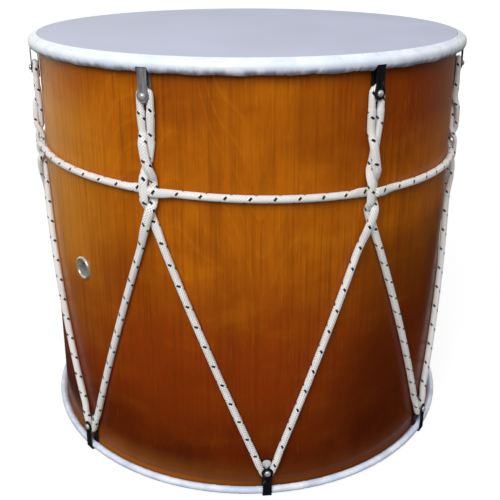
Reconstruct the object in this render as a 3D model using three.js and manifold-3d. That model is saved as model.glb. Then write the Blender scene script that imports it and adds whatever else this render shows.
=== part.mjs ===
// A two-headed, rope-laced Caucasian drum: a bent-wood shell with film heads, whose hoops are pulled together
// by one rope that zigzags between riveted hooks, and a belly cord woven through the lacing.
// Millimetres, +Z up. The origin is on the drum's axis, on the plane that it stands on.
// Azimuths start at -Y, where the vent is, and grow towards +X.
import * as THREE from "three";
import { mergeVertices } from "three/addons/utils/BufferGeometryUtils.js";
import Module from "manifold-3d";

const wasm = await Module();
wasm.setup();

// Driving dimensions
const SHELL_RADIUS = 175;
const SHELL_WALL = 7;
const SHELL_EDGE_ROUNDING = 2;
const DRUM_HEIGHT = 336; // from the floor to the playing face
const CLEARANCE = 0.3; // between pieces that touch
const FILM = 0.5; // thickness of the heads and collars

const HOOK_COUNT = 7; // at each end
const TOP_HOOK_TURN = 24.4; // azimuth of the first top hook, degrees
const BOTTOM_HOOK_TURN = 0;
const STRAP = 0.8; // thickness of a hook's steel
const STRAP_WIDTH = 7;
const EYE_RADIUS = 4.5;
const TOP_RIVET_DROP = 26.5; // below the playing face
const BOTTOM_RIVET_RISE = 21.6; // above the floor
const HOOK_TAIL = 3.8; // the inner leg runs on past the rivet by this much
const RIVET_RADIUS = 1.4;
const RIVET_HEAD_RADIUS = 2.4;
const RIVET_HEAD_HEIGHT = 1.7;

const TOP_HOOP_WIDTH = 4.2;
const TOP_COLLAR_DEPTH = 11.2;
const TOP_COLLAR_SHOULDER = 5.5; // from the playing face down to where the collar is widest
const TOP_COLLAR_LIP = 5.3; // how far the film is tucked in under the hoop
const TUCK_HEIGHT = 4.2; // the film starts to curl in this far above its underside
const TUCK_WIDTH = 4.6; // how far it has curled in at the underside
const BOTTOM_RING_WIDTH = 5.2;
const BOTTOM_RING_HEIGHT = 5.6;
const BOTTOM_HOOK_CORNER = 1.9; // bend radius of the strap's middle line
const BOTTOM_WRAP_END = 110; // how far the film runs over the bottom hoop, degrees

const ROPE_DIAMETER = 5.2;
const ROPE_FLAT = 0.6; // thickness left where ropes press on each other
const LOOP_FLAT = 0.86; // width left where the rope is drawn tight round a rivet
const CORD_BELOW_HEAD = 94.4; // belly cord on the drum's axis, from the playing face down
const CORD_DROP = 4.9; // how far it dips on its low side
const CORD_LOW_SIDE = 136.6; // azimuth of that side, degrees
const CORD_ROOM = 6; // the strands run straight this far above and below the cord
const PAIR_SPREAD = 0.6 * ROPE_DIAMETER; // from the middle of a pair to each strand, beside the cord
const CROSS_LIFT = 0.9 * ROPE_DIAMETER; // from a strand on the shell to the one that crosses over it
const UPPER_CROSSING = 22; // above the cord
const LOWER_CROSSING = 18; // below the cord
const LEG_NEAR = 9; // from the lower crossing to where a strand starts to sink back to the shell
const LEG_FAR = 32; // from the lower crossing to where it lies on the shell again
const LEG_LIFT = 0.8; // share of the lift that is left at the near one of these two
const LOOP_RISE_FROM = 5; // where a leg leaves the shell for its loop, in loop radii from the loop
const LOOP_RISE_TO = 2.4; // where it is level with the loop
const LACING_START = 4; // index of the bottom hook where the rope's ends meet
const LACING_KNOT_AT = 0.5; // share of the last leg, from the crossing to the hook
const CORD_KNOT_AFTER = 3; // index of the top hook before the cord's knot
const KNOT_RADIUS = 6.4;
const KNOT_LENGTH = 28;
const KNOT_WAIST = 4.9;
const KNOT_GAP = 0.6; // to the ends of the rope, which meet it at a slight angle
const KNOT_BEND = 5; // azimuth over which the cord sinks from its knot halfway to the shell, degrees

const VENT_HEIGHT = 164.3; // above the floor
const VENT_BORE_RADIUS = 6.6;
const VENT_BARREL_WALL = 0.8;
const VENT_FLANGE_RADIUS = 9.4;
const VENT_FLANGE_HEIGHT = 1.7;
const VENT_LIP_RADIUS = 8.8;
const VENT_LIP_THICKNESS = 1;
const WASHER_RADIUS = 11;
const WASHER_THICKNESS = 1;

// Facets
const RING_SEGMENTS = 7 * HOOK_COUNT; // so every hook sits on the middle of a flat facet
const ROPE_SIDES = 6;
const ROPE_TURN_STEP = THREE.MathUtils.degToRad(5); // longest step of a rope round the shell
const ROPE_STEP = 8; // a stretch of rope longer than this is sampled at least twice
const LOOP_STEPS = 6; // round a rivet
const DOME_STEPS = 2; // on a rivet's head
const PIN_SEGMENTS = 8;
const EYE_SEGMENTS = 12;
const EYELET_SEGMENTS = 16;
const HOOK_CURVE_SEGMENTS = 2;
const GAP_SAMPLES = 6; // times as many samples where a rope's gap to itself is measured
const GAP_SKIP = 4 * ROPE_DIAMETER; // neighbours along the rope that aren't measured

// Derived places
const rad = THREE.MathUtils.degToRad;
const hookStep = (2 * Math.PI) / HOOK_COUNT;
const shellInside = SHELL_RADIUS - SHELL_WALL;
const innerLeg = SHELL_RADIUS + CLEARANCE + STRAP / 2; // middle of the strap's inner leg
const topLegSpan = TOP_HOOP_WIDTH + 2 * CLEARANCE + STRAP;
const bottomLegSpan = BOTTOM_RING_WIDTH + 2 * CLEARANCE + STRAP;
const topHoopRadius = innerLeg + topLegSpan / 2;
const bottomHoopRadius = innerLeg + bottomLegSpan / 2;
const topBendHeight = DRUM_HEIGHT - TOP_COLLAR_SHOULDER;
const bottomBendHeight = (bottomLegSpan + STRAP) / 2;
const topRivetHeight = DRUM_HEIGHT - TOP_RIVET_DROP;
const cordHeight = DRUM_HEIGHT - CORD_BELOW_HEAD;
const topBendTop = topBendHeight + (topLegSpan + STRAP) / 2 - topRivetHeight; // above the rivet
const bottomRingFoot = bottomBendHeight - BOTTOM_RING_WIDTH / 2;
const shellTop = DRUM_HEIGHT - FILM - CLEARANCE;
const shellFoot = bottomRingFoot + FILM + CLEARANCE;
const ropeRadius = ROPE_DIAMETER / 2;
const ropeHalfFlat = ropeRadius * ROPE_FLAT;
const ropeLay = SHELL_RADIUS + CLEARANCE + ropeRadius; // middle of a round rope that lies on the shell
const ropeLow = SHELL_RADIUS + CLEARANCE + ropeHalfFlat; // middle of a pressed rope that lies on the shell
const ropeHigh = ropeLow + CROSS_LIFT;
// The ends of a knot lie higher than a rope would, because the knot is straight and the shell is round.
const knotSag = (KNOT_LENGTH / 2 + KNOT_GAP) ** 2 / (2 * SHELL_RADIUS);
const knotLay = SHELL_RADIUS + CLEARANCE + KNOT_RADIUS + knotSag;
const loopHalfWidth = ropeRadius * LOOP_FLAT;
const loopRadius = RIVET_RADIUS + CLEARANCE + loopHalfWidth;

// Materials
const steel = (color, roughness) => new THREE.MeshStandardMaterial({ color, roughness, metalness: 1 });
const plain = (color, roughness) => new THREE.MeshStandardMaterial({ color, roughness, metalness: 0 });
const LACQUERED_WOOD = () => plain(0x8a4210, 0.3);
const HEAD_FILM = () => plain(0xc3c8da, 0.45);
const WHITE_FILM = () => plain(0xeff4fb, 0.3);
const BLACK_STEEL = () => steel(0x14161c, 0.45);
const BRIGHT_STEEL = () => steel(0xc4c6cc, 0.22);
const HOOP_STEEL = () => steel(0x9a9ca0, 0.4);
const NICKEL = () => steel(0xcfc9b8, 0.2);
const ROPE_WHITE = () => plain(0xe4e2e4, 0.85);

const drum = new THREE.Group();

function addMesh(parent, name, geometry, material) {
  const mesh = new THREE.Mesh(geometry, material);
  mesh.name = name;
  parent.add(mesh);
  return mesh;
}

// A group turned so that its X axis points outwards at an azimuth, with its Y axis along the rim
function spoke(azimuth) {
  const group = new THREE.Group();
  group.rotation.z = azimuth - Math.PI / 2;
  drum.add(group);
  return group;
}

// Joining and cutting of closed geometries
function solidOf(geometry) {
  const bare = geometry.clone();
  bare.deleteAttribute("normal");
  bare.deleteAttribute("uv");
  const merged = mergeVertices(bare, 1e-4);
  return new wasm.Manifold(
    new wasm.Mesh({
      numProp: 3,
      vertProperties: new Float32Array(merged.attributes.position.array),
      triVerts: new Uint32Array(merged.index.array),
    }),
  );
}

function geometryOf(solid) {
  const mesh = solid.getMesh();
  const geometry = new THREE.BufferGeometry();
  geometry.setAttribute("position", new THREE.BufferAttribute(mesh.vertProperties, 3));
  geometry.setIndex(new THREE.BufferAttribute(mesh.triVerts, 1));
  geometry.computeVertexNormals();
  return geometry;
}

// An arc in two halves, which are drawn with two facets each
function arc(path, x, y, radius, from, to) {
  const middle = (from + to) / 2;
  path.absarc(x, y, radius, from, middle, to < from);
  path.absarc(x, y, radius, middle, to, to < from);
}

// A quarter of an ellipse, in two halves as well
function quarter(path, x, y, xRadius, yRadius, from, to) {
  const middle = (from + to) / 2;
  path.absellipse(x, y, xRadius, yRadius, from, middle, to < from);
  path.absellipse(x, y, xRadius, yRadius, middle, to, to < from);
}

// A profile of (radius, height) turned round the drum's axis, with a facet centred on the azimuth phase.
// The middles of the facets lie at the profile's own radius, or their corners do where atCorners is true.
function ring(path, phase, atCorners = false) {
  const stretch = atCorners ? 1 : 1 / Math.cos(Math.PI / RING_SEGMENTS);
  const points = path.getPoints(1).map((p) => new THREE.Vector2(p.x * stretch, p.y));
  if (points[0].x > 0) points.push(points[0].clone());
  const geometry = new THREE.LatheGeometry(points, RING_SEGMENTS, phase + Math.PI / RING_SEGMENTS);
  geometry.rotateX(Math.PI / 2);
  return geometry;
}

// A profile of (radius, distance along X) turned round the X axis of a spoke
function pin(points, segments) {
  const geometry = new THREE.LatheGeometry(points, segments);
  geometry.rotateZ(-Math.PI / 2);
  return geometry;
}

function boxAt(azimuth, radialFrom, radialTo, width, heightFrom, heightTo) {
  const geometry = new THREE.BoxGeometry(radialTo - radialFrom, width, heightTo - heightFrom);
  geometry.translate((radialFrom + radialTo) / 2, 0, (heightFrom + heightTo) / 2);
  geometry.rotateZ(azimuth - Math.PI / 2);
  return geometry;
}

// One cut for each hook, at its azimuth
function cutAtHooks(geometry, turn, radialFrom, radialTo, heightFrom, heightTo) {
  const width = STRAP_WIDTH + 2 * CLEARANCE;
  let solid = solidOf(geometry);
  for (let i = 0; i < HOOK_COUNT; i++) {
    const azimuth = rad(turn) + i * hookStep;
    const slot = boxAt(azimuth, radialFrom, radialTo, width, heightFrom, heightTo);
    solid = solid.subtract(solidOf(slot));
  }
  return geometryOf(solid);
}

// Shell: a bent-wood tube with rounded outer edges and a hole for the vent
function buildShell() {
  const path = new THREE.Path();
  const edge = SHELL_RADIUS - SHELL_EDGE_ROUNDING;
  path.moveTo(shellInside, shellFoot);
  path.lineTo(edge, shellFoot);
  path.absarc(edge, shellFoot + SHELL_EDGE_ROUNDING, SHELL_EDGE_ROUNDING, -Math.PI / 2, 0, false);
  path.lineTo(SHELL_RADIUS, shellTop - SHELL_EDGE_ROUNDING);
  path.absarc(edge, shellTop - SHELL_EDGE_ROUNDING, SHELL_EDGE_ROUNDING, 0, Math.PI / 2, false);
  path.lineTo(shellInside, shellTop);
  const tube = solidOf(ring(path, 0, true));

  const holeRadius = VENT_BORE_RADIUS + VENT_BARREL_WALL + CLEARANCE;
  const hole = new THREE.CylinderGeometry(holeRadius, holeRadius, 4 * SHELL_WALL, EYELET_SEGMENTS);
  hole.translate(0, -SHELL_RADIUS, VENT_HEIGHT);
  addMesh(drum, "shell", geometryOf(tube.subtract(solidOf(hole))), LACQUERED_WOOD());
}

// Vent: an eyelet with a domed flange outside, rolled over a washer inside
function buildVent() {
  const group = spoke(0);
  const barrel = VENT_BORE_RADIUS + VENT_BARREL_WALL;
  const seat = SHELL_RADIUS + CLEARANCE;
  const face = seat + VENT_FLANGE_HEIGHT;
  const washerHole = barrel + CLEARANCE;
  // The washer is flat, so its rim meets the curved wall first.
  const wallAtRim = Math.sqrt(shellInside ** 2 - WASHER_RADIUS ** 2) * Math.cos(Math.PI / RING_SEGMENTS);
  const washerOut = wallAtRim - CLEARANCE;
  const washerIn = washerOut - WASHER_THICKNESS;
  const lip = washerIn - CLEARANCE;

  const v = (radius, along) => new THREE.Vector2(radius, along);
  const eyelet = [
    v(barrel, lip),
    v(barrel, seat),
    v(VENT_FLANGE_RADIUS, seat),
    v(VENT_FLANGE_RADIUS, seat + VENT_FLANGE_HEIGHT * 0.3),
    v((VENT_FLANGE_RADIUS * 2 + barrel) / 3, seat + VENT_FLANGE_HEIGHT * 0.85),
    v((VENT_FLANGE_RADIUS + barrel * 2) / 3, face),
    v(barrel, seat + VENT_FLANGE_HEIGHT * 0.85),
    v(VENT_BORE_RADIUS, seat + VENT_FLANGE_HEIGHT * 0.3),
    v(VENT_BORE_RADIUS, lip - VENT_LIP_THICKNESS * 0.4),
    v(barrel, lip - VENT_LIP_THICKNESS),
    v(VENT_LIP_RADIUS, lip - VENT_LIP_THICKNESS * 0.6),
    v(VENT_LIP_RADIUS, lip),
    v(barrel, lip),
  ];
  const grommet = addMesh(group, "vent_grommet", pin(eyelet, EYELET_SEGMENTS), NICKEL());
  grommet.position.z = VENT_HEIGHT;

  const plate = [
    v(washerHole, washerIn),
    v(WASHER_RADIUS, washerIn),
    v(WASHER_RADIUS, washerOut),
    v(washerHole, washerOut),
    v(washerHole, washerIn),
  ];
  const washer = addMesh(group, "vent_washer", pin(plate, EYELET_SEGMENTS), NICKEL());
  washer.position.z = VENT_HEIGHT;
}

// Top end: the membrane on the shell's edge, the hoop round it and the white film over the hoop
function buildTopEnd() {
  const phase = rad(TOP_HOOK_TURN);
  const membrane = new THREE.Path();
  membrane.moveTo(0, DRUM_HEIGHT - FILM);
  membrane.lineTo(SHELL_RADIUS, DRUM_HEIGHT - FILM);
  membrane.lineTo(SHELL_RADIUS, DRUM_HEIGHT);
  membrane.lineTo(0, DRUM_HEIGHT);
  addMesh(drum, "top_head", ring(membrane, phase), HEAD_FILM());

  // The film slopes from the membrane's edge, goes round the hooks' bends, all on one centre, and curls in under
  // the hoop. It is slit where the outer leg of each hook comes out.
  const inside = (topLegSpan + STRAP) / 2 + CLEARANCE;
  const outside = inside + FILM;
  const edge = SHELL_RADIUS + CLEARANCE;
  const reach = Math.hypot(topHoopRadius - edge, TOP_COLLAR_SHOULDER);
  const bearing = Math.atan2(TOP_COLLAR_SHOULDER, edge - topHoopRadius);
  const touch = bearing - Math.acos(outside / reach);
  const foot = DRUM_HEIGHT - TOP_COLLAR_DEPTH;
  const curl = foot + TUCK_HEIGHT;
  const wall = topHoopRadius + outside;
  const tuck = wall - TUCK_WIDTH;
  const lipEnd = wall - TOP_COLLAR_LIP;
  const film = new THREE.Path();
  film.moveTo(lipEnd, foot);
  quarter(film, tuck, curl, TUCK_WIDTH, TUCK_HEIGHT, -Math.PI / 2, 0);
  arc(film, topHoopRadius, topBendHeight, outside, 0, touch);
  film.lineTo(edge, DRUM_HEIGHT);
  film.lineTo(edge, DRUM_HEIGHT - FILM / Math.sin(touch));
  arc(film, topHoopRadius, topBendHeight, inside, touch, 0);
  quarter(film, tuck, curl, TUCK_WIDTH - FILM, TUCK_HEIGHT - FILM, 0, -Math.PI / 2);
  film.lineTo(lipEnd, foot + FILM);
  const outerLeg = innerLeg + topLegSpan;
  const slotFrom = outerLeg - STRAP / 2 - CLEARANCE;
  const collar = cutAtHooks(ring(film, phase), TOP_HOOK_TURN, slotFrom, wall + FILM, foot - FILM, curl);
  addMesh(drum, "top_collar", collar, WHITE_FILM());

  // The hoop's outer corner sets how far down it reaches inside the curl.
  const halfHoop = TOP_HOOP_WIDTH / 2;
  const cornerShare = (topHoopRadius + halfHoop - tuck) / (TUCK_WIDTH - FILM);
  const hoopFoot = curl - (TUCK_HEIGHT - FILM) * Math.sqrt(1 - cornerShare ** 2) + 2 * CLEARANCE;
  const hoop = new THREE.Path();
  hoop.moveTo(topHoopRadius - halfHoop, hoopFoot);
  hoop.lineTo(topHoopRadius + halfHoop, hoopFoot);
  arc(hoop, topHoopRadius, topBendHeight, halfHoop, 0, Math.PI);
  addMesh(drum, "top_hoop", ring(hoop, phase), HOOP_STEEL());
}

// Bottom end: the membrane under the shell's edge, the slim hoop round it and the film wrapped round the hoop
function buildBottomEnd() {
  const phase = rad(BOTTOM_HOOK_TURN);
  const halfRing = BOTTOM_RING_WIDTH / 2;
  const headRadius = bottomHoopRadius - halfRing - CLEARANCE;
  const membrane = new THREE.Path();
  membrane.moveTo(0, bottomRingFoot);
  membrane.lineTo(headRadius, bottomRingFoot);
  membrane.lineTo(headRadius, bottomRingFoot + FILM);
  membrane.lineTo(0, bottomRingFoot + FILM);
  // The film is slit where the inner leg of each hook goes through it.
  const slotFrom = innerLeg - STRAP / 2 - CLEARANCE;
  const slotTo = headRadius + STRAP;
  const head = cutAtHooks(
    ring(membrane, phase),
    BOTTOM_HOOK_TURN,
    slotFrom,
    slotTo,
    bottomRingFoot - FILM,
    bottomRingFoot + 2 * FILM,
  );
  addMesh(drum, "bottom_head", head, HEAD_FILM());

  const crown = bottomRingFoot + BOTTOM_RING_HEIGHT - halfRing;
  const halfHoop = halfRing - FILM - CLEARANCE;
  const hoop = new THREE.Path();
  hoop.moveTo(bottomHoopRadius - halfHoop, crown);
  hoop.absarc(bottomHoopRadius, bottomBendHeight, halfHoop, Math.PI, 2 * Math.PI, false);
  hoop.absarc(bottomHoopRadius, crown, halfHoop, 0, Math.PI, false);
  addMesh(drum, "bottom_hoop", ring(hoop, phase), HOOP_STEEL());

  const film = new THREE.Path();
  const wrapEnd = rad(BOTTOM_WRAP_END);
  film.moveTo(bottomHoopRadius - halfRing, crown);
  arc(film, bottomHoopRadius, bottomBendHeight, halfRing, Math.PI, 2 * Math.PI);
  film.absarc(bottomHoopRadius, crown, halfRing, 0, wrapEnd, false);
  film.absarc(bottomHoopRadius, crown, halfRing - FILM, wrapEnd, 0, true);
  film.absarc(bottomHoopRadius, bottomBendHeight, halfRing - FILM, 2 * Math.PI, Math.PI, true);
  film.lineTo(bottomHoopRadius - halfRing + FILM, crown);
  addMesh(drum, "bottom_collar", ring(film, phase), WHITE_FILM());
}

// Outline of a strap that goes up one leg, over a bend with rounded corners, and down the other.
// The rivet is at height 0, where the outer leg ends. The inner leg runs on to HOOK_TAIL below it.
function strapOutline(legSpan, bendTop, corner) {
  const half = STRAP / 2;
  const outerLeg = innerLeg + legSpan;
  const turn = bendTop - half - corner;
  const shape = new THREE.Shape();
  shape.moveTo(innerLeg - half, -HOOK_TAIL);
  shape.lineTo(innerLeg - half, turn);
  shape.absarc(innerLeg + corner, turn, corner + half, Math.PI, Math.PI / 2, true);
  shape.absarc(outerLeg - corner, turn, corner + half, Math.PI / 2, 0, true);
  shape.lineTo(outerLeg + half, 0);
  shape.lineTo(outerLeg - half, 0);
  shape.absarc(outerLeg - corner, turn, corner - half, 0, Math.PI / 2, false);
  shape.absarc(innerLeg + corner, turn, corner - half, Math.PI / 2, Math.PI, false);
  shape.lineTo(innerLeg + half, -HOOK_TAIL);
  shape.closePath();
  return shape;
}

// A disc of strap steel at the end of a leg
function eyeDisc(leg, height) {
  const disc = new THREE.CylinderGeometry(EYE_RADIUS, EYE_RADIUS, STRAP, EYE_SEGMENTS);
  disc.rotateZ(Math.PI / 2);
  disc.translate(leg, 0, height);
  return disc;
}

// Hook: the bent strap with a round end on each leg, both legs bored for the rivet
function hookGeometry(legSpan, bendTop, corner) {
  const outline = strapOutline(legSpan, bendTop, corner);
  const options = { depth: STRAP_WIDTH, bevelEnabled: false, curveSegments: HOOK_CURVE_SEGMENTS };
  const strap = new THREE.ExtrudeGeometry(outline, options);
  strap.rotateX(Math.PI / 2);
  strap.translate(0, STRAP_WIDTH / 2, 0);

  const boreRadius = RIVET_RADIUS + CLEARANCE;
  const bore = new THREE.CylinderGeometry(boreRadius, boreRadius, 4 * legSpan, PIN_SEGMENTS);
  bore.rotateZ(Math.PI / 2);
  bore.translate(innerLeg + legSpan / 2, 0, 0);
  const solid = solidOf(strap)
    .add(solidOf(eyeDisc(innerLeg, -HOOK_TAIL)))
    .add(solidOf(eyeDisc(innerLeg + legSpan, 0)))
    .subtract(solidOf(bore));
  return geometryOf(solid);
}

// Rivet: a shank that ends flush with the inner eye, and a domed head on the outer one
function rivetGeometry(legSpan) {
  const tail = innerLeg - STRAP / 2;
  const seat = innerLeg + legSpan + STRAP / 2 + CLEARANCE;
  const points = [
    new THREE.Vector2(0, tail),
    new THREE.Vector2(RIVET_RADIUS, tail),
    new THREE.Vector2(RIVET_RADIUS, seat),
  ];
  for (let i = 0; i <= DOME_STEPS; i++) {
    const angle = ((Math.PI / 2) * i) / DOME_STEPS;
    const radius = i === DOME_STEPS ? 0 : RIVET_HEAD_RADIUS * Math.cos(angle);
    points.push(new THREE.Vector2(radius, seat + RIVET_HEAD_HEIGHT * Math.sin(angle)));
  }
  return pin(points, PIN_SEGMENTS);
}

function buildHooks(end, turn, rivetHeight, legSpan, bendTop, corner) {
  const flip = end === "bottom" ? Math.PI : 0;
  for (let i = 0; i < HOOK_COUNT; i++) {
    const group = spoke(rad(turn) + i * hookStep);
    group.position.z = rivetHeight;
    const strap = hookGeometry(legSpan, bendTop, corner);
    const hook = addMesh(group, `${end}_hook_${i + 1}`, strap, BLACK_STEEL());
    hook.rotation.x = flip;
    addMesh(group, `${end}_rivet_${i + 1}`, rivetGeometry(legSpan), BRIGHT_STEEL());
  }
}

// Ropes are routed on the unrolled shell. A point of a route has x, the way round the shell at the radius of
// a rope that lies on it, y, the height, and z, the distance of the rope's middle from the drum's axis. Its
// flat is half the rope's thickness, away from the shell, and its wide is half the width along the shell.
const around = (azimuth) => azimuth * ropeLay;
const routePoint = (x, y, z, flat, wide = ropeRadius) => ({ at: new THREE.Vector3(x, y, z), flat, wide });

function onDrum(p) {
  const azimuth = p.x / ropeLay;
  return new THREE.Vector3(p.z * Math.sin(azimuth), -p.z * Math.cos(azimuth), p.y);
}

// Slopes for a curve through heights at equal steps that never overshoots them
function steadySlopes(values) {
  return values.map((value, i) => {
    if (i === 0 || i === values.length - 1) return 0;
    const rise = value - values[i - 1];
    const next = values[i + 1] - value;
    return rise * next > 0 ? (2 * rise * next) / (rise + next) : 0;
  });
}

// Smooth samples of a route, with more of them on a stretch that is long or goes far round the shell
function sampleRoute(route, finer = 1) {
  const curve = new THREE.CatmullRomCurve3(
    route.map((p) => p.at),
    false,
    "centripetal",
  );
  const slopes = steadySlopes(route.map((p) => p.at.z));
  const stretches = route.length - 1;
  const samples = [];
  for (let i = 0; i < stretches; i++) {
    const [here, next] = [route[i], route[i + 1]];
    const turn = Math.abs(next.at.x - here.at.x) / ropeLay;
    const fewest = here.at.distanceTo(next.at) > ROPE_STEP ? 2 : 1;
    const steps = finer * Math.max(fewest, Math.ceil(turn / ROPE_TURN_STEP));
    for (let k = 0; k < steps; k++) {
      const t = k / steps;
      const p = curve.getPoint((i + t) / stretches);
      const ease = t * t * (3 - 2 * t);
      const bend = t * (1 - t) * (slopes[i] * (1 - t) - slopes[i + 1] * t);
      p.z = THREE.MathUtils.lerp(here.at.z, next.at.z, ease) + bend;
      const flat = THREE.MathUtils.lerp(here.flat, next.flat, t);
      const wide = THREE.MathUtils.lerp(here.wide, next.wide, t);
      samples.push({ at: onDrum(p), flat, wide });
    }
  }
  const last = route[stretches];
  samples.push({ at: onDrum(last.at), flat: last.flat, wide: last.wide });
  return samples;
}

// Sections of a rope at its samples: the corners, as seen from the rope's middle, and the length up to there
function ropeSections(samples) {
  let length = 0;
  return samples.map(({ at, flat, wide }, i) => {
    const before = samples[Math.max(i - 1, 0)].at;
    const after = samples[Math.min(i + 1, samples.length - 1)].at;
    const along = after.clone().sub(before).normalize();
    const outward = new THREE.Vector3(at.x, at.y, 0);
    outward.addScaledVector(along, -along.dot(outward)).normalize();
    const aside = along.clone().cross(outward);
    const corners = [];
    for (let j = 0; j < ROPE_SIDES; j++) {
      const angle = (2 * Math.PI * j) / ROPE_SIDES;
      const rise = (flat * Math.sin(angle)) / Math.sin(Math.PI / 3);
      const corner = aside.clone().multiplyScalar(wide * Math.cos(angle));
      corners.push(corner.addScaledVector(outward, rise));
    }
    length += at.distanceTo(before);
    return { at, outward, aside, corners, length };
  });
}

// Least gap between stretches of a rope that aren't neighbours along it. The gap between two sections is the
// widest one seen along the line between their middles or along the first section's width or thickness.
function leastGapToItself(route) {
  const sections = ropeSections(sampleRoute(route, GAP_SAMPLES));
  const reach = (section, way) => Math.max(...section.corners.map((corner) => corner.dot(way)));
  let least = Infinity;
  for (const here of sections) {
    for (const there of sections) {
      const apart = there.at.clone().sub(here.at);
      const near = apart.length() < 2 * ROPE_DIAMETER;
      if (!near || there.length - here.length < GAP_SKIP) continue;
      const gaps = [apart, here.outward, here.aside].map((direction) => {
        const way = direction.clone().normalize();
        if (way.dot(apart) < 0) way.negate();
        return way.dot(apart) - reach(here, way) - reach(there, way.clone().negate());
      });
      least = Math.min(least, Math.max(...gaps));
    }
  }
  return least;
}

// A closed rope along a route, with a flat side to the shell
function ropeGeometry(route) {
  const sections = ropeSections(sampleRoute(route));
  const positions = [];
  const indices = [];
  for (const { at, corners } of sections) {
    for (const corner of corners) positions.push(...corner.clone().add(at).toArray());
  }
  const lastRing = (sections.length - 1) * ROPE_SIDES;
  for (let j = 0; j < ROPE_SIDES; j++) {
    const next = (j + 1) % ROPE_SIDES;
    for (let ringStart = 0; ringStart < lastRing; ringStart += ROPE_SIDES) {
      const a = ringStart + j;
      const b = ringStart + next;
      indices.push(a, a + ROPE_SIDES, b, b, a + ROPE_SIDES, b + ROPE_SIDES);
    }
    if (j > 0 && j < ROPE_SIDES - 1) {
      indices.push(0, j, j + 1, lastRing, lastRing + j + 1, lastRing + j);
    }
  }
  const geometry = new THREE.BufferGeometry();
  geometry.setAttribute("position", new THREE.Float32BufferAttribute(positions, 3));
  geometry.setIndex(indices);
  geometry.computeVertexNormals();
  return geometry;
}

// Half the thickness of a rope that fills the room between the legs of a hook
const flatInHook = (legSpan) => Math.min((legSpan - STRAP) / 2 - CLEARANCE, ropeRadius);

// Angle, seen from the centre of a loop, at which a straight run from a point touches it
function touchAngle(point, centre, side) {
  const x = point.x - centre.x;
  const y = point.y - centre.y;
  return Math.atan2(y, x) + side * Math.acos(loopRadius / Math.hypot(x, y));
}

function loopPoint(centre, angle) {
  const x = centre.x + loopRadius * Math.cos(angle);
  const y = centre.y + loopRadius * Math.sin(angle);
  return new THREE.Vector2(x, y);
}

const cordHeightAt = (azimuth) => cordHeight - CORD_DROP * Math.cos(azimuth - rad(CORD_LOW_SIDE));
const topAzimuth = (i) => rad(TOP_HOOK_TURN) + i * hookStep;
const bottomAzimuth = (i) => rad(BOTTOM_HOOK_TURN) + i * hookStep;

// The weave of a strand beside the belly cord: the height above the cord, the share of PAIR_SPREAD by which
// it has gone over to the other side of its pair, and its level, from 0 at the cord to 1 at a crossing.
const WEAVE = [
  [UPPER_CROSSING, 0, 1],
  [CORD_ROOM + (UPPER_CROSSING - CORD_ROOM) * 0.69, 0.5, 0.95],
  [CORD_ROOM + (UPPER_CROSSING - CORD_ROOM) * 0.37, 0.96, 0.5],
  [CORD_ROOM, 1, 0],
  [-CORD_ROOM, 1, 0],
  [-CORD_ROOM - (LOWER_CROSSING - CORD_ROOM) * 0.35, 0.96, 0.5],
  [-CORD_ROOM - (LOWER_CROSSING - CORD_ROOM) * 0.64, 0.5, 0.95],
  [-LOWER_CROSSING, 0, 1],
];
// Above the upper crossing: the share of the way up to the rivet, and the distance from the middle of the
// pair in rope diameters
const UPPER_LEGS = [
  [0.7, 0.68],
  [0.46, 0.6],
  [0.24, 0.37],
];

// One strand from below the top hook's tail to the lower crossing. side is -1 for the strand that starts on
// the left of the hook, which lies over the other at both crossings, and 1 for the one on the right.
function strandRoute(i, side) {
  const middle = around(topAzimuth(i));
  const cord = cordHeightAt(topAzimuth(i));
  const upper = cord + UPPER_CROSSING;
  const over = side < 0;
  const crossing = over ? ropeHigh : ropeLow;
  const beside = over ? ropeLow : ropeHigh;
  const legs = UPPER_LEGS.map(([share, apart], k) => {
    const x = middle + side * apart * ROPE_DIAMETER;
    const y = THREE.MathUtils.lerp(upper, topRivetHeight, share);
    const nearCrossing = k === UPPER_LEGS.length - 1;
    if (k === 0) return routePoint(x, y, topHoopRadius, flatInHook(topLegSpan));
    if (!nearCrossing) return routePoint(x, y, ropeLay, ropeRadius);
    return routePoint(x, y, THREE.MathUtils.lerp(ropeLow, crossing, 0.9), ropeHalfFlat);
  });
  const weave = WEAVE.map(([height, across, level]) => {
    const radius = THREE.MathUtils.lerp(beside, crossing, level);
    return routePoint(middle - side * across * PAIR_SPREAD, cord + height, radius, ropeHalfFlat);
  });
  return [...legs, ...weave];
}

// A point on the straight run from a lower crossing to the touching point on a bottom hook's loop
function onLeg(i, touch, distance, radius, flat) {
  const start = lowerCrossing(i);
  const run = touch.clone().sub(start);
  const p = start.addScaledVector(run, distance / run.length());
  return routePoint(p.x, p.y, radius, flat);
}

// The upper end of that run, where the strand sinks back to the shell
function upperLeg(i, side, touch) {
  const lifted = THREE.MathUtils.lerp(ropeLay, side < 0 ? ropeHigh : ropeLow, LEG_LIFT);
  return [onLeg(i, touch, LEG_NEAR, lifted, ropeHalfFlat), onLeg(i, touch, LEG_FAR, ropeLay, ropeRadius)];
}

// The lower end of it, where the strand rises over the tail of the hook
function lowerLeg(i, touch) {
  const length = touch.distanceTo(lowerCrossing(i));
  return [
    onLeg(i, touch, length - LOOP_RISE_FROM * loopRadius, ropeLay, ropeRadius),
    onLeg(i, touch, length - LOOP_RISE_TO * loopRadius, bottomHoopRadius, flatInHook(bottomLegSpan)),
  ];
}

// Loop round a rivet, from one touching angle to the other
function loopRoute(centre, radius, legSpan, from, to) {
  const flat = flatInHook(legSpan);
  const points = [];
  for (let k = 0; k <= LOOP_STEPS; k++) {
    const p = loopPoint(centre, THREE.MathUtils.lerp(from, to, k / LOOP_STEPS));
    points.push(routePoint(p.x, p.y, radius, flat, loopHalfWidth));
  }
  return points;
}

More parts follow.
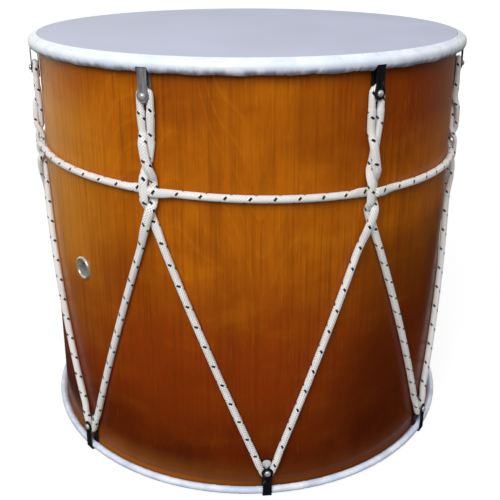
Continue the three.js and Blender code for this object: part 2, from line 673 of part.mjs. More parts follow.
const topCentre = (i) => new THREE.Vector2(around(topAzimuth(i)), topRivetHeight);
const bottomCentre = (i) => new THREE.Vector2(around(bottomAzimuth(i)), BOTTOM_RIVET_RISE);
const lowerCrossing = (i) =>
  new THREE.Vector2(around(topAzimuth(i)), cordHeightAt(topAzimuth(i)) - LOWER_CROSSING);

// Where the right strand of a pair touches the loop on the next bottom hook
function rightTouch(i) {
  const next = bottomCentre(i + 1);
  return loopPoint(next, touchAngle(lowerCrossing(i), next, 1));
}

// Lacing: under a bottom hook, up to the next top hook, over it and down again, all the way round
function lacingRoute() {
  const route = [];
  for (let i = LACING_START; i < LACING_START + HOOK_COUNT; i++) {
    const under = bottomCentre(i);
    const leaveUnder = touchAngle(lowerCrossing(i), under, -1);
    const arriveUnder = touchAngle(lowerCrossing(i - 1), under, 1);
    route.push(...loopRoute(under, bottomHoopRadius, bottomLegSpan, arriveUnder, leaveUnder + 2 * Math.PI));

    const rising = strandRoute(i, -1);
    const falling = strandRoute(i, 1);
    const left = loopPoint(under, leaveUnder);
    const risingLeg = [...upperLeg(i, -1, left), ...lowerLeg(i, left)];
    route.push(...risingLeg.reverse(), ...rising.slice().reverse());

    const over = topCentre(i);
    const arriveOver = touchAngle(rising[0].at, over, -1);
    const leaveOver = touchAngle(falling[0].at, over, 1);
    route.push(...loopRoute(over, topHoopRadius, topLegSpan, arriveOver + 2 * Math.PI, leaveOver));

    const right = rightTouch(i);
    route.push(...falling, ...upperLeg(i, 1, right));
    const lastLeg = i === LACING_START + HOOK_COUNT - 1;
    if (!lastLeg) route.push(...lowerLeg(i, right));
  }
  return route;
}

// Knot: two barrels drawn against each other, on the middle line of the ropes that it joins
function knotGeometry(from, to) {
  const barrel = (KNOT_LENGTH - CLEARANCE) / 2;
  const points = [
    new THREE.Vector2(0, 0),
    new THREE.Vector2(KNOT_WAIST, 0),
    new THREE.Vector2(KNOT_RADIUS, barrel * 0.25),
    new THREE.Vector2(KNOT_RADIUS, barrel * 0.75),
    new THREE.Vector2(KNOT_WAIST, barrel),
    new THREE.Vector2(KNOT_RADIUS, KNOT_LENGTH - barrel * 0.75),
    new THREE.Vector2(KNOT_RADIUS, KNOT_LENGTH - barrel * 0.25),
    new THREE.Vector2(KNOT_WAIST, KNOT_LENGTH),
    new THREE.Vector2(0, KNOT_LENGTH),
  ];
  const geometry = new THREE.LatheGeometry(points, PIN_SEGMENTS);
  geometry.translate(0, -KNOT_LENGTH / 2, 0);
  const along = to.clone().sub(from).normalize();
  const turn = new THREE.Quaternion().setFromUnitVectors(new THREE.Vector3(0, 1, 0), along);
  geometry.applyQuaternion(turn);
  const middle = from.clone().add(to).multiplyScalar(0.5);
  geometry.translate(middle.x, middle.y, middle.z);
  return geometry;
}

// The last leg of the lacing is broken by the knot, so the rope starts and ends there.
function buildLacing() {
  const last = LACING_START + HOOK_COUNT - 1;
  const touch = rightTouch(last);
  const middle = touch.distanceTo(lowerCrossing(last)) * LACING_KNOT_AT;
  const reach = KNOT_LENGTH / 2 + KNOT_GAP;
  const onLastLeg = (distance, radius) => onLeg(last, touch, middle + distance, radius, ropeRadius);
  // The start lies one turn back, because the route ends at the hook that it began at.
  const turnBack = around(2 * Math.PI);
  const started = (p) => routePoint(p.at.x - turnBack, p.at.y, p.at.z, p.flat, p.wide);

  const first = started(onLastLeg(reach, knotLay));
  const route = [
    first,
    started(onLastLeg(reach + KNOT_LENGTH / 2, knotLay)),
    ...lowerLeg(last, touch).map(started),
    ...lacingRoute(),
    onLastLeg(-reach - 2 * KNOT_LENGTH, ropeLay),
    onLastLeg(-reach - KNOT_LENGTH / 2, knotLay),
    onLastLeg(-reach, knotLay),
  ];
  addMesh(drum, "lacing_rope", ropeGeometry(route), ROPE_WHITE());
  console.log(`lacing_rope: least gap to itself ${leastGapToItself(route).toFixed(2)} mm`);
  const ends = [onDrum(route[route.length - 1].at), onDrum(first.at)];
  addMesh(drum, "lacing_knot", knotGeometry(...ends), ROPE_WHITE());
}

// The belly cord beside a pair of strands: the distance from the middle of the pair in rope diameters, and
// the level, from 0 under the left strand to 1 over the right one. Without a level it is round, on the shell.
const CORD_WEAVE = [
  [-3.4],
  [-1.8, 0],
  [-0.5, 0],
  [0.5, 1],
  [1.7, 0.8],
  [4.2],
];

// Belly cord: round the shell, under the left strand of each pair and over the right one
function buildBellyCord() {
  const knot = topAzimuth(CORD_KNOT_AFTER) + hookStep / 2;
  const reach = (KNOT_LENGTH / 2 + KNOT_GAP) / knotLay;
  const bendAway = rad(KNOT_BEND);
  const cordPoint = (azimuth, radius, flat) =>
    routePoint(around(azimuth), cordHeightAt(azimuth), radius, flat);
  const route = [
    cordPoint(knot + reach, knotLay, ropeRadius),
    cordPoint(knot + reach + bendAway, (knotLay + ropeLay) / 2, ropeRadius),
    cordPoint(knot + reach + 2 * bendAway, ropeLay, ropeRadius),
  ];
  for (let i = CORD_KNOT_AFTER + 1; i <= CORD_KNOT_AFTER + HOOK_COUNT; i++) {
    for (const [diameters, level] of CORD_WEAVE) {
      const azimuth = topAzimuth(i) + (diameters * ROPE_DIAMETER) / ropeLay;
      if (level === undefined) route.push(cordPoint(azimuth, ropeLay, ropeRadius));
      else route.push(cordPoint(azimuth, ropeLow + level * CROSS_LIFT, ropeHalfFlat));
    }
    const lastPair = i === CORD_KNOT_AFTER + HOOK_COUNT;
    if (!lastPair) route.push(cordPoint(topAzimuth(i) + hookStep / 2, ropeLay, ropeRadius));
  }
  const end = knot + 2 * Math.PI - reach;
  route.push(
    cordPoint(end - 2 * bendAway, ropeLay, ropeRadius),
    cordPoint(end - bendAway, (knotLay + ropeLay) / 2, ropeRadius),
    cordPoint(end, knotLay, ropeRadius),
  );
  addMesh(drum, "belly_cord", ropeGeometry(route), ROPE_WHITE());
  const ends = [onDrum(route[route.length - 1].at), onDrum(route[0].at)];
  addMesh(drum, "belly_cord_knot", knotGeometry(...ends), ROPE_WHITE());
}

buildShell();
buildVent();
buildTopEnd();
buildBottomEnd();
buildHooks("top", TOP_HOOK_TURN, topRivetHeight, topLegSpan, topBendTop, topLegSpan / 2);
const bottomBend = BOTTOM_RIVET_RISE; // down to the floor
buildHooks("bottom", BOTTOM_HOOK_TURN, BOTTOM_RIVET_RISE, bottomLegSpan, bottomBend, BOTTOM_HOOK_CORNER);
buildLacing();
buildBellyCord();

export default drum;
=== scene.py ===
# A rope-laced Caucasian drum, dressed for its photograph. Metres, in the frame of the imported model.
import math

import bmesh
import bpy
import numpy as np
from mathutils import Matrix, Vector


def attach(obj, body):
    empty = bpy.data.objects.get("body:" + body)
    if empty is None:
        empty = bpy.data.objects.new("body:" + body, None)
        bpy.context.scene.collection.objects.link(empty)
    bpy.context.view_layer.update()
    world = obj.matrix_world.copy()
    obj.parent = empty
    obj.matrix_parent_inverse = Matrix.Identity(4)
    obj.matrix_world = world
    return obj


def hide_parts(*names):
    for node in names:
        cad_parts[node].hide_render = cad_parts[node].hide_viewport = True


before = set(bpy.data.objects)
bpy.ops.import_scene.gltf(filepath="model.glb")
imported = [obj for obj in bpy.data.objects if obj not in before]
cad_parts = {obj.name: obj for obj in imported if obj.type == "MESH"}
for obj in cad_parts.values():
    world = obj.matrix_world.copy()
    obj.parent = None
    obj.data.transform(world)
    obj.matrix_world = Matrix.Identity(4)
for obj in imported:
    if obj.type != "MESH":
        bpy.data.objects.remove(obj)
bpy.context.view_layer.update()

# Metres in a millimetre
MM = 0.001

# Sizes of the solids, in millimetres
SHELL_RADIUS = 175.0
SHELL_WALL = 7.0
SHELL_EDGE_ROUNDING = 2.0
DRUM_HEIGHT = 336.0
CLEARANCE = 0.3
FILM = 0.5

HOOK_COUNT = 7
TOP_HOOK_TURN = math.radians(24.4)
BOTTOM_HOOK_TURN = 0.0
HOOK_STEP = 2 * math.pi / HOOK_COUNT
STRAP = 0.8
STRAP_WIDTH = 7.0
EYE_RADIUS = 4.5
TOP_RIVET_HEIGHT = DRUM_HEIGHT - 26.5
BOTTOM_RIVET_HEIGHT = 21.6
HOOK_TAIL = 3.8
RIVET_RADIUS = 1.4
RIVET_HEAD_RADIUS = 2.4
RIVET_HEAD_HEIGHT = 1.7

TOP_HOOP_WIDTH = 4.2
TOP_COLLAR_DEPTH = 11.2
TOP_COLLAR_SHOULDER = 5.5
TOP_COLLAR_LIP = 5.3
TUCK_HEIGHT = 4.2
TUCK_WIDTH = 4.6
BOTTOM_RING_WIDTH = 5.2
BOTTOM_RING_HEIGHT = 5.6
BOTTOM_HOOK_CORNER = 1.9

ROPE_DIAMETER = 5.2
ROPE_FLAT = 0.6
LOOP_FLAT = 0.86
CORD_HEIGHT = 241.6
CORD_DROP = 4.9
CORD_LOW_SIDE = math.radians(136.6)
CORD_ROOM = 6.0
CROSS_LIFT = 0.9 * ROPE_DIAMETER
UPPER_CROSSING = 22.0
LOWER_CROSSING = 18.0
LEG_NEAR = 9.0
LEG_FAR = 32.0
LEG_LIFT = 0.8
LACING_START = 4
LACING_KNOT_AT = 0.5
CORD_KNOT_AFTER = 3
KNOT_RADIUS = 6.4
KNOT_LENGTH = 28.0
KNOT_GAP = 0.6

VENT_HEIGHT = 164.3
VENT_BORE_RADIUS = 6.6
VENT_BARREL_WALL = 0.8
VENT_FLANGE_RADIUS = 9.4
VENT_FLANGE_HEIGHT = 1.7

# Places that follow from them
SHELL_INSIDE = SHELL_RADIUS - SHELL_WALL
INNER_LEG = SHELL_RADIUS + CLEARANCE + STRAP / 2
TOP_SPAN = TOP_HOOP_WIDTH + 2 * CLEARANCE + STRAP
BOTTOM_SPAN = BOTTOM_RING_WIDTH + 2 * CLEARANCE + STRAP
TOP_HOOP_RADIUS = INNER_LEG + TOP_SPAN / 2
BOTTOM_HOOP_RADIUS = INNER_LEG + BOTTOM_SPAN / 2
TOP_BEND = DRUM_HEIGHT - TOP_COLLAR_SHOULDER + (TOP_SPAN + STRAP) / 2 - TOP_RIVET_HEIGHT
BOTTOM_BEND_HEIGHT = (BOTTOM_SPAN + STRAP) / 2
BOTTOM_RING_FOOT = BOTTOM_BEND_HEIGHT - BOTTOM_RING_WIDTH / 2
ROPE_RADIUS = ROPE_DIAMETER / 2
ROPE_HALF_FLAT = ROPE_RADIUS * ROPE_FLAT
ROPE_LAY = SHELL_RADIUS + CLEARANCE + ROPE_RADIUS
ROPE_LOW = SHELL_RADIUS + CLEARANCE + ROPE_HALF_FLAT
ROPE_HIGH = ROPE_LOW + CROSS_LIFT
KNOT_REACH = KNOT_LENGTH / 2 + KNOT_GAP
KNOT_LAY = SHELL_RADIUS + CLEARANCE + KNOT_RADIUS + KNOT_REACH ** 2 / (2 * SHELL_RADIUS)
LOOP_HALF_WIDTH = ROPE_RADIUS * LOOP_FLAT
LOOP_RADIUS = RIVET_RADIUS + CLEARANCE + LOOP_HALF_WIDTH

# The photograph's camera: azimuth from the vent, distance from the drum's axis and height, in metres
CAMERA_AZIMUTH = math.radians(46.6)
CAMERA_DISTANCE = 0.6371
CAMERA_HEIGHT = 0.4064
CAMERA_PITCH = math.radians(18.23)
CAMERA_LENS = 52.37
CAMERA_SENSOR = 36.0
CAMERA_SHIFT = (0.0055, -0.14)
PHOTO_RIGHT = (math.cos(CAMERA_AZIMUTH), math.sin(CAMERA_AZIMUTH), 0.0)

BLACK = (0.0, 0.0, 0.0, 1.0)
WHITE = (1.0, 1.0, 1.0, 1.0)


def lin(red, green, blue):
    """A colour given in display values from 0 to 255, as linear light with full alpha."""
    def one(value):
        value /= 255
        return value / 12.92 if value <= 0.04045 else ((value + 0.055) / 1.055) ** 2.4
    return (one(red), one(green), one(blue), 1.0)


def from_camera(degrees):
    """The azimuth that lies so many degrees to the right of the camera's."""
    return CAMERA_AZIMUTH + math.radians(degrees)


def round_drum(radius, azimuth, height):
    """The place at a distance from the drum's axis and an azimuth from the vent."""
    return (radius * np.sin(azimuth), -radius * np.cos(azimuth), height)


def full_turn(count):
    return np.linspace(0, 2 * math.pi, count, endpoint=False)


# Node trees. Sockets of a colour mix: its factor and both colours, and the colour between them
MIX_INPUTS = (0, 6, 7)
MIX_OUTPUT = 2


class Nodes:
    """Short ways to add nodes to one tree. Values are numbers, colours or outputs of other nodes."""

    def __init__(self, tree):
        self.tree = tree

    def put(self, socket, value):
        if isinstance(value, bpy.types.NodeSocket):
            self.tree.links.new(value, socket)
        else:
            socket.default_value = value

    def fill(self, node, **inputs):
        for key, value in inputs.items():
            self.put(node.inputs[key.replace("_", " ")], value)

    def add(self, kind, settings=None, **inputs):
        node = self.tree.nodes.new(kind)
        for key, value in (settings or {}).items():
            setattr(node, key, value)
        self.fill(node, **inputs)
        return node

    def calc(self, operation, *values):
        node = self.add("ShaderNodeMath", {"operation": operation})
        for socket, value in zip(node.inputs, values):
            self.put(socket, value)
        return node.outputs[0]

    def plus(self, first, second):
        return self.calc("ADD", first, second)

    def minus(self, first, second):
        return self.calc("SUBTRACT", first, second)

    def times(self, product, *others):
        for other in others:
            product = self.calc("MULTIPLY", product, other)
        return product

    def larger(self, first, second):
        return self.calc("MAXIMUM", first, second)

    def measure(self, operation, first, second):
        """A number from two vectors, such as their distance."""
        node = self.add("ShaderNodeVectorMath", {"operation": operation})
        self.put(node.inputs[0], first)
        self.put(node.inputs[1], second)
        return node.outputs["Value"]

    def parts(self, vector):
        return self.add("ShaderNodeSeparateXYZ", Vector=vector).outputs

    def mix(self, factor, first, second):
        """A colour between two others."""
        node = self.add("ShaderNodeMix", {"data_type": "RGBA"})
        for index, value in zip(MIX_INPUTS, (factor, first, second)):
            self.put(node.inputs[index], value)
        return node.outputs[MIX_OUTPUT]

    def spread(self, value, low, high, at_low=0.0, at_high=1.0):
        """A soft step from low to high, with its value at either end."""
        node = self.add("ShaderNodeMapRange", {"interpolation_type": "SMOOTHSTEP"}, Value=value)
        self.fill(node, From_Min=low, From_Max=high, To_Min=at_low, To_Max=at_high)
        return node.outputs["Result"]

    def bump(self, height, distance, strength):
        node = self.add("ShaderNodeBump", Strength=strength, Distance=distance, Height=height)
        return node.outputs["Normal"]


class Paint(Nodes):
    """A new material, whose patterns are laid out on the piece's own place."""

    def __init__(self, name):
        self.material = bpy.data.materials.new(name)
        self.material.use_nodes = True
        super().__init__(self.material.node_tree)
        self.place = self.add("ShaderNodeTexCoord").outputs["Object"]

    def pattern(self, scale, detail=3.0, roughness=0.55):
        """Noise whose grain is given as counts per metre along X, Y and Z."""
        mapped = self.add("ShaderNodeMapping", Vector=self.place, Scale=scale).outputs["Vector"]
        noise = self.add("ShaderNodeTexNoise", Vector=mapped, Scale=1.0, Detail=detail, Roughness=roughness)
        return noise.outputs["Fac"]

    def shade(self, **inputs):
        self.fill(self.tree.nodes["Principled BSDF"], **inputs)
        return self.material


# Noise in the wood: counts per metre across the grain and along it, and detail
WOOD_NOISE = {
    "drift": (11, 16, 3.0),
    "mottle": (60, 34, 3.0),
    "figure": (22, 52, 2.0),
    "bands": (70, 3, 3.0),
    "swell": (12, 1.1, 1.0),
    "ring_patches": (26, 14, 2.0),
    "fibre": (1300, 24, 3.0),
    "streaks": (420, 9, 2.0),
    "flecks": (620, 52, 2.0),
    "pores": (1200, 150, 2.0),
}
# Dark patches: azimuth from the camera in degrees and height in metres
WOOD_DARK_PATCHES = {"right_stain": (36, 0.066), "left_dark_patch": (-30, 0.176)}
PATCH_RAGGED = 0.03
LEVEL_SWAY = 0.09
RINGS_PER_SWELL = 30.0
RINGS_PER_METRE = 34.0
PORES = ("pores", 0.67, 0.75)
PALE_HEIGHT = ("level", 0.06, 0.2)
PALE_TINTS = (lin(160, 76, 3), lin(210, 126, 9))
FIRST_COAT = lin(66, 16, 1)
# Layers in their order, real tints and painted shade and reflection among them: a colour, or none for the
# pale tint, and a strength. A strength is a soft step along one measure, from where to where and its values
# there, or a sum on strengths. Lengths are in metres.
WOOD_LAYERS = (
    # Chestnut above the dark foot, then amber
    (lin(138, 53, 2), ("level", 0.01, 0.11)),
    (lin(182, 98, 4), ("level", 0.105, 0.215)),
    # Clouds and upright bands
    (lin(104, 38, 2), ("drift", 0.42, 0.7, 0.0, 0.3)),
    (lin(118, 46, 2), ("mottle", 0.35, 0.7, 0.0, 0.24)),
    (lin(92, 34, 2), ("bands", 0.5, 0.75, 0.0, 0.25)),
    # Golden figure
    (lin(200, 116, 4), ("MULTIPLY", ("figure", 0.5, 0.72), ("level", 0.1, 0.2, 0.06, 0.3))),
    # Red at the upper right and along the top: partly a redder stain, partly painted shade on the far side
    # and under the collar
    (lin(128, 47, 2), (
        "MAXIMUM",
        ("MULTIPLY", ("side", 0.0, 0.12), ("level", 0.23, 0.29, 0.1, 0.9)),
        ("level", 0.29, 0.33, 0.0, 0.28),
    )),
    # Painted reflection: a gilt glow on the left
    (lin(222, 150, 44), (
        "MULTIPLY",
        ("side", -0.165, -0.08, 1.0, 0.0),
        ("MINIMUM", ("level", 0.08, 0.19, 0.0, 0.6), ("height", 0.28, 0.315, 0.6, 0.06)),
    )),
    # Pale rings and flecks
    (None, (
        "MULTIPLY",
        ("rings", 0.0, 0.3, 1.0, 0.0),
        ("ring_patches", 0.4, 0.65, 0.02, 0.2),
        ("side", 0.0, 0.08, 1.0, 0.35),
        ("height", 0.15, 0.24, 0.3, 1.0),
    )),
    (None, ("flecks", 0.6, 0.74, 0.0, 0.22)),
    # Shade on the far right, below the cord
    (lin(46, 14, 2), (
        "MULTIPLY",
        ("side", 0.06, 0.1),
        ("MINIMUM", ("height", 0.185, 0.215, 0.42, 0.0), ("height", 0.06, 0.12, 0.0, 0.42)),
    )),
    # A stain on the lower right, and a darker patch on the left
    (lin(46, 14, 2), ("right_stain", 0.03, 0.095, 0.5, 0.0)),
    (lin(92, 28, 2), ("left_dark_patch", 0.02, 0.07, 0.3, 0.0)),
    # Streaks, fibres and pores
    (lin(92, 33, 2), ("streaks", 0.46, 0.7, 0.0, 0.26)),
    (lin(86, 30, 2), ("fibre", 0.45, 0.75, 0.0, 0.22)),
    (lin(44, 14, 2), (*PORES, 0.0, 0.35)),
    # Pale line and glow along the foot: partly worn lacquer, partly painted reflection of the ring and
    # bounced light
    (lin(172, 102, 36), (
        "MULTIPLY",
        ("MAXIMUM", ("height", 0.0062, 0.0125, 0.8, 0.0), ("height", 0.01, 0.032, 0.36, 0.0)),
        ("side", -0.1, 0.06, 1.0, 0.3),
    )),
)


def make_wood():
    """Lacquered bent wood: upright grain, pale rings and flecks, amber above, chestnut below, with painted
    shade and reflection.
    """
    paint = Paint("lacquered_wood")
    found = {}
    for name, (across, along, detail) in WOOD_NOISE.items():
        found[name] = paint.pattern((across, across, along), detail)
    height = paint.parts(paint.place)["Z"]
    sway = paint.times(paint.minus(found["drift"], 0.5), LEVEL_SWAY)
    swell = paint.times(found["swell"], RINGS_PER_SWELL)
    found["height"] = height
    found["level"] = paint.plus(height, sway)
    found["side"] = paint.measure("DOT_PRODUCT", paint.place, PHOTO_RIGHT)
    found["rings"] = paint.calc("FRACT", paint.plus(swell, paint.times(height, RINGS_PER_METRE)))
    ragged = paint.times(found["mottle"], PATCH_RAGGED)
    for name, (azimuth, patch_height) in WOOD_DARK_PATCHES.items():
        middle = round_drum(SHELL_RADIUS * MM, from_camera(azimuth), patch_height)
        found[name] = paint.plus(paint.measure("DISTANCE", paint.place, middle), ragged)

    def strength(source, *values):
        if source in found:
            return paint.spread(found[source], *values)
        result = strength(*values[0])
        for value in values[1:]:
            result = paint.calc(source, result, strength(*value))
        return result

    pale = paint.mix(strength(*PALE_HEIGHT), *PALE_TINTS)
    colour = FIRST_COAT
    for tint, steps in WOOD_LAYERS:
        colour = paint.mix(strength(*steps), colour, tint or pale)
    return paint.shade(
        Base_Color=colour,
        Roughness=0.5,
        Specular_IOR_Level=0.03,
        Coat_Weight=0.42,
        Coat_Roughness=0.27,
        Normal=paint.bump(paint.minus(found["fibre"], strength(*PORES)), 0.00008, 0.25),
    )


def make_head():
    """Smooth membrane: a pale grey film with faint clouds and a fine, matt tooth."""
    paint = Paint("head_film")
    clouds = paint.pattern((14, 14, 14))
    tooth = paint.pattern((1500, 1500, 1500), 2.0)
    return paint.shade(
        Base_Color=paint.mix(paint.spread(clouds, 0.3, 0.7), lin(181, 186, 207), lin(187, 192, 214)),
        Roughness=paint.spread(clouds, 0.25, 0.75, 0.48, 0.58),
        Specular_IOR_Level=0.15,
        Normal=paint.bump(tooth, 0.00003, 0.3),
    )


def make_film(name, light, dark, shade_from, shade_to):
    """White wrapped film: glossy, finely creased, and greyer between two heights with painted shade in the
    tucks.
    """
    paint = Paint(name)
    height = paint.parts(paint.place)["Z"]
    crease = paint.pattern((170, 170, 45), 3.0, 0.5)
    blotch = paint.spread(paint.pattern((130, 130, 40)), 0.3, 0.6, 0.35, 1.0)
    clouds = paint.pattern((60, 60, 60), 2.0)
    # Painted shade in the tucks, in blotches, fading out between the two heights
    tuck_shade = paint.times(paint.spread(height, shade_from, shade_to, 0.85, 0.0), blotch)
    colour = paint.mix(paint.spread(clouds, 0.3, 0.7), light, dark)
    return paint.shade(
        Base_Color=paint.mix(tuck_shade, colour, lin(126, 132, 154)),
        Roughness=paint.spread(crease, 0.3, 0.7, 0.24, 0.42),
        Specular_IOR_Level=0.25,
        Normal=paint.bump(crease, 0.0002, 0.25),
    )


def make_black_steel(name, light, dark, metallic):
    """Blackened strap: faint rolling marks, scuffed edges, and bare metal on the inner leg's end, painted
    near white as its highlight.
    """
    paint = Paint(name)
    place = paint.parts(paint.place)
    marks = paint.pattern((900, 900, 90))
    scuffs = paint.spread(paint.pattern((260, 260, 160), 4.0), 0.62, 0.74, 0.0, 0.3)
    leg_face = (INNER_LEG + STRAP / 2) * MM
    above_eye = paint.plus(place["Z"], HOOK_TAIL * MM)
    squares = paint.plus(paint.calc("POWER", place["Y"], 2.0), paint.calc("POWER", above_eye, 2.0))
    # The inner leg's round end: bare metal, with a painted highlight in its near white colour
    bare_glint = paint.times(
        paint.spread(place["X"], leg_face - 0.0002, leg_face - 0.00005),
        paint.spread(place["X"], leg_face + 0.0002, leg_face + 0.0003, 1.0, 0.0),
        paint.spread(paint.calc("SQRT", squares), 0.003, 0.0038, 1.0, 0.0),
    )
    colour = paint.mix(paint.spread(marks, 0.35, 0.7), dark, light)
    colour = paint.mix(scuffs, colour, lin(104, 105, 110))
    return paint.shade(
        Base_Color=paint.mix(bare_glint, colour, lin(236, 237, 240)),
        Metallic=paint.larger(paint.times(bare_glint, 0.4), metallic),
        Roughness=paint.spread(marks, 0.3, 0.7, 0.42, 0.56),
        Specular_IOR_Level=0.3,
        Normal=paint.bump(marks, 0.00005, 0.4),
    )


def make_metal(name, light, dark, metallic, roughness):
    """Bright metal with fine turning marks and a slightly dull film."""
    paint = Paint(name)
    dull = paint.pattern((300, 300, 300), 4.0)
    marks = paint.pattern((4000, 700, 700), 2.0)
    return paint.shade(
        Base_Color=paint.mix(paint.spread(dull, 0.35, 0.7), light, dark),
        Metallic=metallic,
        Roughness=paint.spread(marks, 0.3, 0.7, roughness, roughness + 0.14),
        Normal=paint.bump(marks, 0.00002, 0.3),
    )


# Braid of the rope, and the ticks of its one black tracer yarn, in millimetres and turns
ROPE_CARRIERS = 8
ROPE_CELL = 2.2
YARNS = 3.0
TRACER_ROWS = 4
TRACER_PITCH = 16.6
TRACER_LENGTH = 3.0
TRACER_WIDTH = 1.8
TRACER_TURN = 0.06
TRACER_SLANT = math.radians(49)


def make_rope():
    """Braided rope: two sets of plaits that pass over and under each other, with black ticks and painted
    shade in its grooves.

    The mesh gives u, the length along the rope in millimetres, and v, the share of a turn round it.
    """
    paint = Paint("braided_rope")
    uv = paint.parts(paint.add("ShaderNodeTexCoord").outputs["UV"])
    along = uv["X"]
    turn = uv["Y"]

    def from_middle(value):
        return paint.minus(paint.calc("FRACT", value), 0.5)

    def crown(value):
        offset = from_middle(value)
        return paint.minus(1.0, paint.times(offset, offset, 4.0))

    carriers = paint.times(turn, float(ROPE_CARRIERS))
    cells = paint.calc("DIVIDE", along, ROPE_CELL)
    right = paint.plus(carriers, cells)
    left = paint.minus(carriers, cells)
    plaits = paint.plus(paint.calc("FLOOR", right), paint.calc("FLOOR", left))
    under = paint.calc("PINGPONG", plaits, 1.0)
    over = paint.minus(1.0, under)

    def on_top(right_value, left_value):
        return paint.plus(paint.times(right_value, over), paint.times(left_value, under))

    height = on_top(crown(right), crown(left))
    yarn = crown(paint.times(on_top(right, left), YARNS))

    rows = paint.times(paint.plus(turn, TRACER_TURN), float(TRACER_ROWS))
    later = paint.calc("DIVIDE", paint.calc("FLOOR", rows), TRACER_ROWS)
    beat = paint.minus(paint.calc("DIVIDE", along, TRACER_PITCH), later)
    tick_along = paint.times(from_middle(beat), TRACER_PITCH)
    tick_aside = paint.times(from_middle(rows), math.pi * ROPE_DIAMETER / TRACER_ROWS)
    cos = math.cos(TRACER_SLANT)
    sin = math.sin(TRACER_SLANT)
    lengthwise = paint.plus(paint.times(tick_along, cos), paint.times(tick_aside, sin))
    crosswise = paint.minus(paint.times(tick_aside, cos), paint.times(tick_along, sin))

    def within(value, size, full, gone):
        return paint.spread(paint.calc("ABSOLUTE", value), size / 2 * full, size / 2 * gone, 1.0, 0.0)

    ends = within(lengthwise, TRACER_LENGTH, 0.8, 1.1)
    tracer = paint.times(ends, within(crosswise, TRACER_WIDTH, 0.7, 1.1))

    soil = paint.pattern((60, 60, 60))
    fuzz = paint.pattern((2400, 2400, 2400), 2.0)
    white = paint.mix(paint.spread(soil, 0.35, 0.7), lin(253, 252, 249), lin(245, 243, 239))
    # Painted shade: darker between the yarns and in the grooves between plaits
    white = paint.mix(paint.spread(yarn, 0.0, 0.6, 0.16, 0.0), white, lin(178, 174, 170))
    white = paint.mix(paint.spread(height, 0.1, 0.6, 0.95, 0.0), white, lin(112, 108, 104))
    relief = paint.plus(height, paint.times(paint.plus(yarn, fuzz), 0.25))
    return paint.shade(
        Base_Color=paint.mix(tracer, white, lin(13, 13, 16)),
        Roughness=0.82,
        Specular_IOR_Level=0.2,
        Sheen_Weight=0.15,
        Sheen_Roughness=0.5,
        Normal=paint.bump(relief, 0.0003, 0.8),
    )


WOOD = make_wood()
HEAD = make_head()
TOP_FILM = make_film("top_collar_film", lin(233, 239, 247), lin(218, 227, 242), 0.3268, 0.3312)
RING_FILM = make_film("ring_film", lin(230, 237, 248), lin(196, 207, 229), 0.0008, 0.0042)
BLACK_STEEL = make_black_steel("black_steel", lin(26, 28, 33), lin(12, 13, 17), 0.0)
# A grey copy of the black steel for one top hook: painted reflection of the light on its strap
REFLECTING_STEEL = make_black_steel("steel_painted_reflection", lin(152, 151, 155), lin(112, 112, 117), 0.3)
BRIGHT_STEEL = make_metal("bright_steel", lin(226, 226, 231), lin(198, 198, 204), 0.55, 0.16)
HOOP_STEEL = make_metal("hoop_steel", lin(168, 169, 172), lin(140, 141, 146), 0.8, 0.34)
NICKEL = make_metal("nickel", lin(232, 230, 224), lin(210, 204, 190), 0.72, 0.12)
ROPE = make_rope()


# Meshes
def add_object(name, data):
    thing = bpy.data.objects.new(name, data)
    bpy.context.scene.collection.objects.link(thing)
    return thing


def mesh_object(name, parts, material, sharp):
    """A closed mesh from points in millimetres, faces and, for ropes, texture places.

    It is smooth, except at edges sharper than an angle in degrees.
    """
    points, faces, *uvs = parts
    mesh = bpy.data.meshes.new(name)
    mesh.from_pydata((np.asarray(points, dtype=float) * MM).tolist(), [], faces)
    if uvs:
        layer = mesh.uv_layers.new(name="braid")
        layer.data.foreach_set("uv", uvs[0].ravel())
    bm = bmesh.new()
    bm.from_mesh(mesh)
    bmesh.ops.recalc_face_normals(bm, faces=bm.faces)
    bm.to_mesh(mesh)
    bm.free()
    mesh.shade_smooth()
    mesh.set_sharp_from_angle(angle=math.radians(sharp))
    mesh.materials.append(material)
    return add_object(name, mesh)


def stand_for(piece, slot, *nodes, body="drum"):
    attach(piece, body)
    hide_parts(*nodes)


def add_piece(name, parts, material, sharp, slot, node, body="drum", place=None):
    """A mesh that stands for a node of the model."""
    piece = mesh_object(name, parts, material, sharp)
    if place is not None:
        piece.matrix_world = place
        bpy.context.view_layer.update()
    stand_for(piece, slot, node, body=body)


def grid_faces(rows, columns, closed=False):
    """Faces between rows of points, each a ring. If closed, the last row also joins the first."""
    faces = []
    for row in range(rows if closed else rows - 1):
        here = row * columns
        there = (row + 1) % rows * columns
        for k in range(columns):
            next_k = (k + 1) % columns
            faces.append((here + k, here + next_k, there + next_k, there + k))
    return faces


def turned(profile, segments, shift=None):
    """Points and faces of a closed (radius, height) profile turned round the drum's axis.

    shift, if given, takes the azimuths and a profile index, and returns changes of radius and height.
    """
    azimuths = full_turn(segments)
    rings = []
    for index, (radius, height) in enumerate(profile):
        out, up = shift(azimuths, index) if shift else (0.0, 0.0)
        heights = np.full(segments, height + up)
        rings.append(np.stack(round_drum(radius + out, azimuths, heights), axis=1))
    return np.concatenate(rings), grid_faces(len(profile), segments, closed=True)


def oval(x, y, x_radius, y_radius, start, end, steps):
    """Points on a part of an ellipse, angles in degrees."""
    angles = np.radians(np.linspace(start, end, steps + 1))
    return [(x + x_radius * math.cos(a), y + y_radius * math.sin(a)) for a in angles]


def arc(x, y, radius, start, end, steps):
    return oval(x, y, radius, radius, start, end, steps)


def pin_mesh(profile, segments):
    """Points and faces of a (radius, distance along X) profile turned round the X axis."""
    points = []
    for radius, along in profile:
        for angle in full_turn(segments):
            points.append((along, radius * math.cos(angle), radius * math.sin(angle)))
    return points, grid_faces(len(profile), segments)


